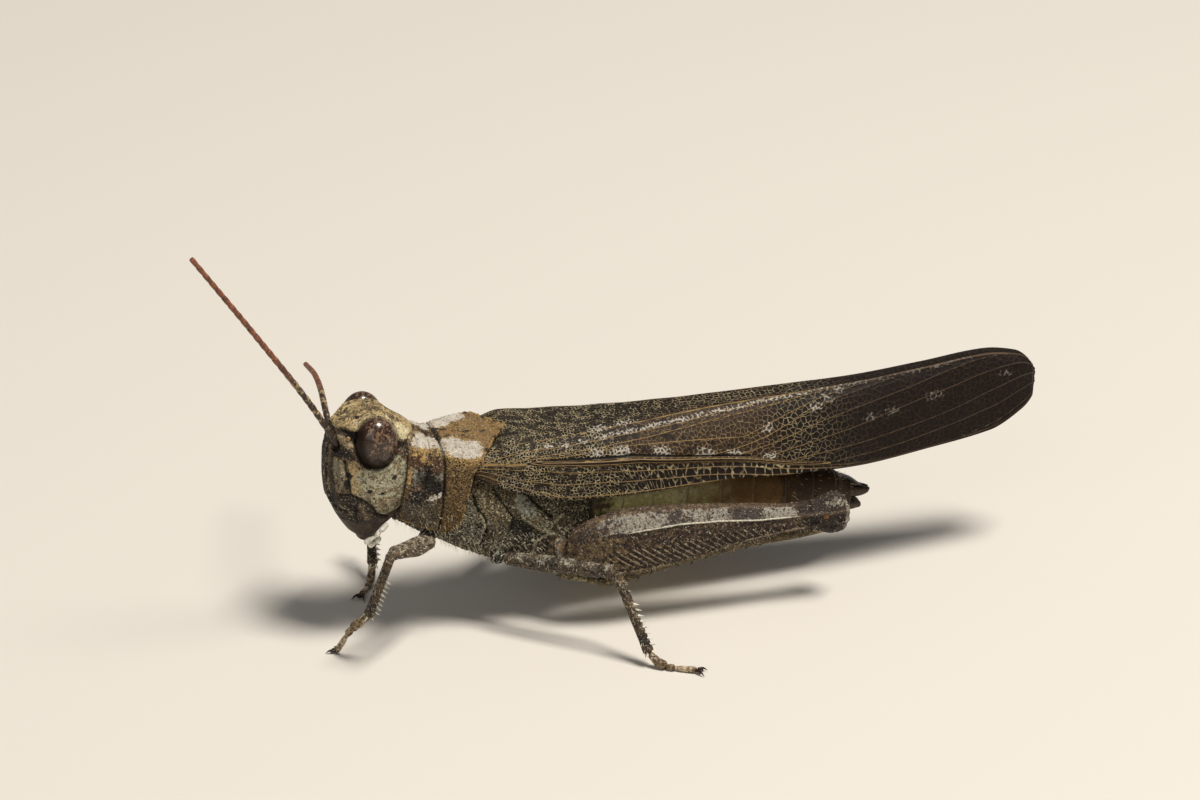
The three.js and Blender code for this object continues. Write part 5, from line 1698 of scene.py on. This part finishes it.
def build_walking_legs():
    skins = {
        "front": leg_finish("front_legs", tone(66, 54, 42), tone(124, 110, 90),
                            tone(176, 166, 142), tone(40, 30, 22)),
        "mid": leg_finish("mid_legs", tone(44, 34, 26), tone(94, 80, 61),
                          tone(164, 157, 140), tone(28, 23, 20)),
    }
    shin_skin = leg_finish("shins", tone(46, 34, 24), tone(96, 78, 56), tone(160, 144, 114),
                           tone(28, 20, 15))
    foot_skin = leg_finish("feet", tone(84, 66, 46), tone(150, 126, 94), tone(204, 184, 156),
                           tone(40, 30, 22))
    horn = plain_finish("claws", tone(24, 16, 11), tone(56, 36, 22), rough=(0.2, 0.35))
    thorn_skin = plain_finish("thorns", tone(190, 182, 162), tone(236, 230, 214), 0.1)
    hips = thorax_finish("hips")
    for name, (hip, knee, heel, ball_at, claw, sizes) in LEGS.items():
        kind, side = name.split("_")

        def piece(form, title, skin, node=None, slot=None):
            nodes = [f"{kind}_{node}_{side}"] if node else []
            form.on(side).piece(f"{kind}_{title}_{side}", skin, nodes, slot)

        form = Form()
        grid, t, _ = limb_grid(hip, [(0, 0.5, 0.46), (1, 0.38, 0.36)], 30, 60)
        form.loft(grid, relief=-0.1 * hump(t - 0.55, 0.06), pale=0.5 * hump(t - 0.8, 0.1))
        piece(form, "hip", hips, "coxa", "thorax")

        form = Form()
        grid, t, angle = limb_grid([hip[1], knee], sizes["thigh"], 150, 80)
        ridges = np.cos(4 * angle - 1) ** 8
        relief = 0.035 * ridges * between(t, 0.1, 0.85) - 0.05 * hump(t - 0.86, 0.02)
        upper = ease(np.sin(angle), -0.1, 0.5)
        spot = 0.8 * blob(plane_of(t, np.sin(angle)), (0.95, 0.2), (0.02, 0.3))
        form.loft(raised(grid, relief), relief=relief,
                  pale=upper * (0.34 + 0.2 * np.cos(t * 31 + 1)) * ease(-t, -0.97, -0.92)
                  + 0.3 * hump(t - 0.93, 0.02),
                  dark=upper * (0.6 * hump(t - 0.48, 0.05) + 0.55 * hump(t - 0.68, 0.04)
                                + 0.5 * hump(t - 0.85, 0.03)) + 0.3 * (1 - upper),
                  spot=spot * (kind == "front"), fuzz=0.6, **unwrap(t, angle / TAU))
        piece(form, "thigh", skins[kind], "femur", "leg")

        form = Form()
        path = [knee, heel]
        grid, t, angle = limb_grid(path, sizes["shin"], 130, 48)
        relief = 0.02 * np.cos(4 * angle) ** 8
        form.loft(raised(grid, relief), relief=relief,
                  pale=0.45 * hump(t - 0.1, 0.05) + 0.35 * hump(t - 0.45, 0.12),
                  dark=0.5 * hump(t - 0.25, 0.05) + 0.75 * hump(t - 0.82, 0.12),
                  fuzz=0.8, **unwrap(t, angle / TAU))
        piece(form, "shin", shin_skin, "tibia", "leg")
        piece(shin_thorns(path), "thorns", thorn_skin)

        piece(foot_form(heel, ball_at, claw), "foot", foot_skin, "tarsus", "foot")
        ahead = np.array(claw) - np.array(ball_at)
        ahead[2] = 0
        piece(claw_form(claw, ahead / np.linalg.norm(ahead)), "claws", horn)


SHIN_LINE = [(12.72, -2.86, 3.36), (11.5, -2.8, 3.02), (9, -2.66, 2.78), (6.5, -2.5, 2.36),
             (4.05, -2.36, 1.82)]
HIND_FOOT = [(4.1, -2.36, 1.84), (3.6, -2.34, 1.7), (1.62, -2.25, 2.2)]


def thigh_grid(rows, columns):
    t = np.linspace(0, 1, rows)
    along = (1 - np.cos(math.pi * t)) / 2
    x = HIND_THIGH[0][0] + (HIND_THIGH[-1][0] - HIND_THIGH[0][0]) * (0.4 * along + 0.6 * t)
    top, foot, out, half = (v[:, None] for v in row_at(HIND_THIGH, x).T)
    across, up = oval(columns, ROUND)
    grid = plane_of(x[:, None], -out + half * across, (top + foot) / 2 + (top - foot) / 2 * up)
    return grid, up + 0 * x[:, None], across + 0 * x[:, None]


THIGH_KEEL = [(2.3, 3.75), (3.0, 4.02), (3.38, 4.09), (4.15, 4.19), (4.94, 4.22), (6.17, 4.28),
              (7.71, 4.2), (9.33, 4.02), (10.6, 3.97), (11.4, 3.95)]
THIGH_EDGE = [(3.1, 4.6), (3.8, 4.78), (5, 4.8), (7, 4.68), (9, 4.5), (11, 4.32)]
THIGH_LOW = [(2.4, 2.75), (3.9, 2.44), (4.57, 2.5), (5.32, 2.52), (6.08, 2.55), (6.95, 2.66),
             (7.63, 2.95), (8.35, 3.14), (9.22, 3.27), (11, 3.45)]
RIB_GAP = 0.32  # from one rib of the herringbone to the next
THIGH_GRAIN = 0.12


def hind_thigh_finish(looks):
    return plated("hind_thighs", tone(46, 34, 25), tone(104, 84, 62), [
        ("umber", tone(40, 28, 21), 0.2, 1.8, 0.15, 0.88),
        ("tan", tone(126, 104, 70), 0.2, 2.8, 0.12, 0.8),
        ("rib", tone(162, 144, 116), 0.16, 2.2, 0.14, 0.85),
        ("pale", tone(150, 143, 130), 0.16, 1.7, 0.13, 0.92),
        ("dark", tone(56, 47, 43), 0.22, 1.6, 0.14, 0.88),
        ("knee", tone(40, 29, 22), 0.18, 1.4, 0.14, 0.92),
        ("ash", tone(140, 132, 116), 0.12, 1.4, 0.12, 0.85),
        (0.32, tone(36, 27, 23), 0.09, 2.2, 0.05, 0.88),
        (0.22, tone(216, 208, 190), 0.07, 2.0, 0.06, 0.5),
        ("line", solid(looks.keel_tint), 0.08, 0.7, 0.12, 0.95),
        ("spot", tone(134, 90, 46), 0.08, 0.8, 0.1, 0.9),
    ], bump=0.045, mottle=0.35, grain=0.8)


def hind_thigh_form():
    """The thigh with its keels, its herringbone ribs and its knee."""
    grid, up, across = thigh_grid(420, 200)
    x, z = grid[..., 0], grid[..., 2]
    side = plane_of(x, z)
    outer = ease(-across, 0.2, 0.5)
    top_line, low = on_line(x, THIGH_KEEL), on_line(x, THIGH_LOW)
    share = (z - low) / np.maximum(top_line - low, 0.1)
    inside = between(share, 0.08, 0.9, 0.08) * ease(x, 2.9, 3.4) * ease(-x, -11, -10.2)
    wave = np.cos(TAU * (x - 1.25 * np.abs(z - low - 0.62 * (top_line - low))) / RIB_GAP)
    rib = inside * ease(wave, 0.2, 0.9) * outer
    edges = 0.05 * hump(np.abs(up) - 0.97, 0.08)
    knee = ease(x + 0.25 * up, 10.85, 11.25)
    crescent = lines(side, 0.1, [(11.6, 3.62), (11.95, 3.4), (12.4, 3.36), (12.75, 3.55)])
    relief = (outer * (0.08 * hump(z - top_line, 0.05) * ease(x, 2.9, 4.3)
                       + 0.07 * hump(z - low, 0.06)) + 0.04 * rib
              + edges + 0.05 * knee * outer * hump(up - 0.35, 0.25) - 0.07 * outer * crescent
              - 0.05 * hump(x - 11.45, 0.05))
    upper = outer * ease(z - top_line, 0.0, 0.06)
    bands = most(hump(x - 6.0, 0.6), between(x, 8.1, 9.6, 0.35), 0.55 * hump(x - 7.3, 0.35),
                 0.62 * ease(-x, -4.2, -3.2))
    edge_line = hump(z - on_line(x, THIGH_EDGE), 0.05)
    form = Form()
    form.loft(
        raised(grid, relief), relief=relief,
        pale=upper * ease(x, 2.4, 3.3) * (1 - knee) * (0.68 - 0.25 * bands),
        dark=most(upper * (1 - knee) * bands * 0.72, 0.4 * outer * ease(-x, -4.2, -2.4)),
        tan=outer * (1 - 0.6 * upper) * ease(-x, -5.2, -2.6) * 0.62 + 0.3 * hump(up + 1, 0.3),
        umber=(0.3 + 0.22 * inside) * outer + 0.3 * ease(-up, 0, 0.6),
        rib=most(rib * (0.72 - 0.42 * ease(share, 0.4, 0.7) - 0.2 * ease(x, 6, 8)),
                 0.6 * outer * hump(z - low, 0.06), 0.62 * edge_line * outer),
        line=outer * 1.05 * hump(z - top_line, 0.03) * between(x, 4.0, 10.9, 0.8),
        knee=knee * (0.8 + 0.3 * crescent),
        ash=knee * outer * most(0.62 * hump(up - 0.75, 0.25) * ease(x, 11.6, 12.2),
                                0.85 * hump(x - 12.95, 0.14)),
        spot=blob(side, (12.05, 3.82), (0.12, 0.1)) * (across < 0),
        fuzz=0.25 + 0.8 * ease(-up, 0.6, 0.95),
        **unwrap((x - 1.8) / 11.4, 0.5 + np.arctan2(up, across) / TAU))
    return form


def build_hind_legs(looks):
    thigh_skin = hind_thigh_finish(looks)
    # Hind shins and feet: their own olive-brown, kept dark as painted shade for the shadow under
    # the thigh
    shin_skin = leg_finish("hind_shins", tone(66, 54, 34), tone(112, 96, 62),
                           tone(160, 146, 108), tone(44, 34, 24))
    thorn_skin = plain_finish("hind_thorns", tone(36, 24, 16), tone(170, 156, 124), 0.12)
    thigh, hip, shin = hind_thigh_form(), Form(), Form()
    grid, t, _ = limb_grid([(1.35, -1.5, 3.15), (1.95, -2.22, 3.35)],
                           [(0, 0.66, 0.56), (1, 0.46, 0.38)], 40, 80)
    hip.loft(grid, relief=-0.1 * hump(t - 0.6, 0.05), pale=0.55 * hump(t - 0.75, 0.1), tan=0.5)
    sizes = [(0, 0.3, 0.24), (0.06, 0.26, 0.22), (0.16, 0.19, 0.19), (0.9, 0.18, 0.18),
             (1, 0.24, 0.22)]
    grid, t, _ = limb_grid(SHIN_LINE, sizes, 240, 48)
    shin.loft(grid, pale=0.5 * hump(t - 0.1, 0.04), dark=0.5 * hump(t - 0.03, 0.03))
    foot = foot_form(*HIND_FOOT, padded=False)
    for turn in (-1, 1):
        root = np.array(HIND_FOOT[-1]) + (0.05, 0.05 * turn, 0)
        spike(foot, root, root + (-0.22, 0.16 * turn, -0.1), 0.06)
    for side in SIDES:
        whole = thigh.on(side).piece(f"hind_thigh_{side}", thigh_skin, [f"hind_femur_{side}"],
                                     "thigh")
        granulate(whole, THIGH_GRAIN, looks.grain_height, 2.0)
        hip.on(side).piece(f"hind_hip_{side}", thigh_skin, [f"hind_coxa_{side}"], "thorax")
        shin.on(side).piece(f"hind_shin_{side}", shin_skin, [f"hind_tibia_{side}"], "shin")
        hind_thorns().on(side).piece(f"hind_thorns_{side}", thorn_skin)
        foot.on(side).piece(f"hind_foot_{side}", shin_skin, [f"hind_tarsus_{side}"], "foot")


# ---- hairs ---------------------------------------------------------------------------
# Coats of hairs: the pieces that they stand on, how thick they are and their length.
FURRED = {
    "shield_hairs": (["shield_shell"], 0.8, 0.28), "side_hairs": (["side_plates"], 0.7, 0.34),
    "thigh_hairs": (["hind_thigh_left", "hind_thigh_right"], 0.8, 0.14),
    "leg_hairs": ([f"{k}_{p}_{s}" for k in ("front", "mid") for p in ("thigh", "shin")
                   for s in SIDES], 1.0, 0.16),
    "belly_hairs": ([f"belly_ring_{k}" for k in range(7, BELLY_RINGS + 1)], 1.0, 0.2),
}


def build_hairs(looks):
    finish, bench = new_finish("hairs")
    dress(bench, solid(looks.tint), 0.55)
    tree = hairs_on_skin()
    strand = hair_strand()
    for name, (skins, amount, length) in FURRED.items():
        coats = []
        for k, skin in enumerate(skins):
            source = bpy.data.objects[skin]
            coat = show(bpy.data.objects.new(f"{name}_{k}", source.data.copy()))
            tree.apply(coat, Strand=strand, Density=looks.density * amount, Length=length * MM,
                       Radius=looks.radius, Lean=(0.6, 0, -0.6), Seed=11 + k, Material=finish)
            coats.append(coat)
        with bpy.context.temp_override(active_object=coats[0], object=coats[0],
                                       selected_objects=coats, selected_editable_objects=coats):
            if len(coats) > 1:
                bpy.ops.object.join()
        coats[0].name = name
        adopt(coats[0])
    bpy.data.objects.remove(strand)


# ---- stage ---------------------------------------------------------------------------
CAMERA_AT = np.array([-53.3, -199.31, 109.53])
CAMERA_AZIMUTH, CAMERA_RISE = math.radians(-16), math.radians(26)
LENS, SENSOR = 179, 36


def build_stage(looks):
    half = 2.0
    mesh = bpy.data.meshes.new("floor")
    mesh.from_pydata([(-half, -half, 0), (half, -half, 0), (half, half, 0), (-half, half, 0)],
                     [], [(0, 1, 2, 3)])
    finish, bench = new_finish("floor")
    dress(bench, solid(looks.floor_tint), 0.8)
    mesh.materials.append(finish)
    floor = show(bpy.data.objects.new("floor", mesh))

    def lamp(name, place, width, power, tint):
        light = bpy.data.lights.new(name, "AREA")
        light.size, light.energy, light.color = width, power, tint
        thing = bpy.data.objects.new(name, light)
        thing.location = place
        thing.rotation_euler = (-Vector(place)).to_track_quat("-Z", "Y").to_euler()
        show(thing)

    lamp("key", (0.09, -0.08, 0.33), 0.1, looks.key_power, (1.0, 0.96, 0.9))
    lamp("fill", (-0.24, -0.3, 0.2), 0.3, looks.fill_power, (1.0, 0.98, 0.96))
    world = bpy.data.worlds.new("room")
    world.use_nodes = True
    sky = world.node_tree.nodes["Background"].inputs
    sky["Color"].default_value = (0.96, 0.97, 1.0, 1)
    sky["Strength"].default_value = looks.room_light
    bpy.context.scene.world = world

    camera = bpy.data.cameras.new("camera")
    camera.lens, camera.sensor_width, camera.clip_start = LENS, SENSOR, 0.01
    view = show(bpy.data.objects.new("camera", camera))
    back = Vector((math.sin(CAMERA_AZIMUTH) * math.cos(CAMERA_RISE),
                   -math.cos(CAMERA_AZIMUTH) * math.cos(CAMERA_RISE), math.sin(CAMERA_RISE)))
    view.location = Vector((CAMERA_AT - ORIGIN) * MM)
    view.rotation_euler = back.to_track_quat("Z", "Y").to_euler()
    bpy.context.scene.camera = view
    bpy.context.scene.view_settings.view_transform = "Standard"


# ---- settings and operators ---------------------------------------------------------
def tint(name, rgb, description):
    return FloatVectorProperty(name=name, description=description, default=tone(*rgb)[:3],
                               min=0, max=1, subtype="COLOR", unit="NONE")


class GRASSHOPPER_PG_head(bpy.types.PropertyGroup):
    vertex_tint: tint("Vertex tint", (176, 152, 106), "Colour of the top of the head")
    eye_tint: tint("Eye tint", (48, 31, 21), "Colour of the eyes between their bars")
    grain_size: FloatProperty(name="Grain size", description="Width of a grain of the shell, mm",
                              default=0.09, min=0.01, subtype="NONE", unit="NONE")
    grain_height: FloatProperty(name="Grain height", description="Height of a grain, mm",
                                default=0.012, min=0, subtype="NONE", unit="NONE")


class GRASSHOPPER_PG_feelers(bpy.types.PropertyGroup):
    links: IntProperty(name="Links", description="Number of links in a feeler", default=24,
                       min=2, subtype="UNSIGNED")
    root_radius: FloatProperty(name="Root radius", description="Radius of the first link",
                               default=0.000128, min=0, subtype="DISTANCE", unit="LENGTH")
    tip_radius: FloatProperty(name="Tip radius", description="Radius of the last link",
                              default=0.000098, min=0, subtype="DISTANCE", unit="LENGTH")
    swell: FloatProperty(name="Swell", description="How much a link widens to its far end",
                         default=1.05, min=0.5, subtype="FACTOR", unit="NONE")
    tint: tint("Tint", (140, 82, 50), "Colour of the outer links")


class GRASSHOPPER_PG_trunk(bpy.types.PropertyGroup):
    patch_tint: tint("Patch tint", (202, 194, 180), "Colour of the pale patches of the shield")
    grain_size: FloatProperty(name="Grain size", description="Width of a grain of the shell, mm",
                              default=0.13, min=0.01, subtype="NONE", unit="NONE")
    grain_height: FloatProperty(name="Grain height", description="Height of a grain, mm",
                                default=0.042, min=0, subtype="NONE", unit="NONE")


class GRASSHOPPER_PG_wings(bpy.types.PropertyGroup):
    vein_height: FloatProperty(name="Vein height", description="Height of a vein",
                               default=0.000025, min=0, subtype="DISTANCE", unit="LENGTH")
    vein_tint: tint("Vein tint", (166, 152, 118), "Colour of the veins near the root")
    apex_tint: tint("Apex tint", (25, 18, 14), "Colour of the membrane near the tip")


class GRASSHOPPER_PG_legs(bpy.types.PropertyGroup):
    keel_tint: tint("Keel tint", (232, 228, 208), "Colour of the keel of the hind thigh")
    grain_height: FloatProperty(name="Grain height", description="Height of a grain, mm",
                                default=0.014, min=0, subtype="NONE", unit="NONE")


class GRASSHOPPER_PG_hairs(bpy.types.PropertyGroup):
    density: FloatProperty(name="Density", description="Hairs on a square metre",
                           default=2.4e7, min=0, subtype="NONE", unit="NONE")
    radius: FloatProperty(name="Radius", description="Radius of a hair at its root",
                          default=0.000009, min=0, subtype="DISTANCE", unit="LENGTH")
    tint: tint("Tint", (206, 196, 168), "Colour of the hairs")


class GRASSHOPPER_PG_stage(bpy.types.PropertyGroup):
    floor_tint: tint("Floor tint", (214, 208, 198), "Colour of the floor")
    key_power: FloatProperty(name="Key light", description="Power of the main lamp",
                             default=1.5, min=0, subtype="POWER", unit="POWER")
    fill_power: FloatProperty(name="Fill light", description="Power of the soft lamp",
                              default=0.3, min=0, subtype="POWER", unit="POWER")
    room_light: FloatProperty(name="Room light", description="Strength of the surroundings",
                              default=0.16, min=0, subtype="FACTOR", unit="NONE")


class GRASSHOPPER_OT_head(bpy.types.Operator):
    """Builds the head shell, the mouth parts and the eyes"""
    bl_idname = "grasshopper.head"
    bl_label = "Head"

    def execute(self, context):
        looks = context.scene.grasshopper_head
        build_head(looks)
        build_mouth()
        build_eyes(looks)
        return {"FINISHED"}


class GRASSHOPPER_OT_feelers(bpy.types.Operator):
    """Builds the feelers, link by link"""
    bl_idname = "grasshopper.feelers"
    bl_label = "Feelers"

    def execute(self, context):
        build_feelers(context.scene.grasshopper_feelers)
        return {"FINISHED"}


class GRASSHOPPER_OT_trunk(bpy.types.Operator):
    """Builds the neck shield, the side plates and the belly rings"""
    bl_idname = "grasshopper.trunk"
    bl_label = "Trunk"

    def execute(self, context):
        looks = context.scene.grasshopper_trunk
        build_shield(looks)
        build_thorax(looks)
        build_belly()
        return {"FINISHED"}


class GRASSHOPPER_OT_wings(bpy.types.Operator):
    """Builds the folded wings with their veins"""
    bl_idname = "grasshopper.wings"
    bl_label = "Wings"

    def execute(self, context):
        build_wings(context.scene.grasshopper_wings)
        return {"FINISHED"}


class GRASSHOPPER_OT_legs(bpy.types.Operator):
    """Builds the six legs with their thorns and claws"""
    bl_idname = "grasshopper.legs"
    bl_label = "Legs"

    def execute(self, context):
        looks = context.scene.grasshopper_legs
        build_walking_legs()
        build_hind_legs(looks)
        return {"FINISHED"}


class GRASSHOPPER_OT_hairs(bpy.types.Operator):
    """Sets hairs on the finished skins"""
    bl_idname = "grasshopper.hairs"
    bl_label = "Hairs"

    def execute(self, context):
        build_hairs(context.scene.grasshopper_hairs)
        return {"FINISHED"}


class GRASSHOPPER_OT_stage(bpy.types.Operator):
    """Sets the floor, the lamps and the camera"""
    bl_idname = "grasshopper.stage"
    bl_label = "Stage"

    def execute(self, context):
        build_stage(context.scene.grasshopper_stage)
        return {"FINISHED"}


class GRASSHOPPER_PT_panel(bpy.types.Panel):
    bl_idname = "GRASSHOPPER_PT_panel"
    bl_label = "Grasshopper"
    bl_space_type = "VIEW_3D"
    bl_region_type = "UI"
    bl_category = "Grasshopper"

    def draw(self, context):
        for key, group in GROUPS.items():
            box = self.layout.box()
            box.operator(f"grasshopper.{key}")
            settings = getattr(context.scene, f"grasshopper_{key}")
            for name in group.__annotations__:
                box.prop(settings, name)


GROUPS = {
    "head": GRASSHOPPER_PG_head, "feelers": GRASSHOPPER_PG_feelers,
    "trunk": GRASSHOPPER_PG_trunk, "wings": GRASSHOPPER_PG_wings,
    "legs": GRASSHOPPER_PG_legs, "hairs": GRASSHOPPER_PG_hairs, "stage": GRASSHOPPER_PG_stage,
}
CLASSES = [
    *GROUPS.values(), GRASSHOPPER_OT_head, GRASSHOPPER_OT_feelers, GRASSHOPPER_OT_trunk,
    GRASSHOPPER_OT_wings, GRASSHOPPER_OT_legs, GRASSHOPPER_OT_hairs, GRASSHOPPER_OT_stage,
    GRASSHOPPER_PT_panel,
]


def register():
    for kind in CLASSES:
        bpy.utils.register_class(kind)
    for key, group in GROUPS.items():
        setattr(bpy.types.Scene, f"grasshopper_{key}", PointerProperty(type=group))


def unregister():
    for key in GROUPS:
        delattr(bpy.types.Scene, f"grasshopper_{key}")
    for kind in reversed(CLASSES):
        bpy.utils.unregister_class(kind)


def main():
    register()
    bpy.ops.grasshopper.head()
    bpy.ops.grasshopper.feelers()
    bpy.ops.grasshopper.trunk()
    bpy.ops.grasshopper.wings()
    bpy.ops.grasshopper.legs()
    bpy.ops.grasshopper.hairs()
    bpy.ops.grasshopper.stage()
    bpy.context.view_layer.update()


if __name__ == "__main__":
    main()
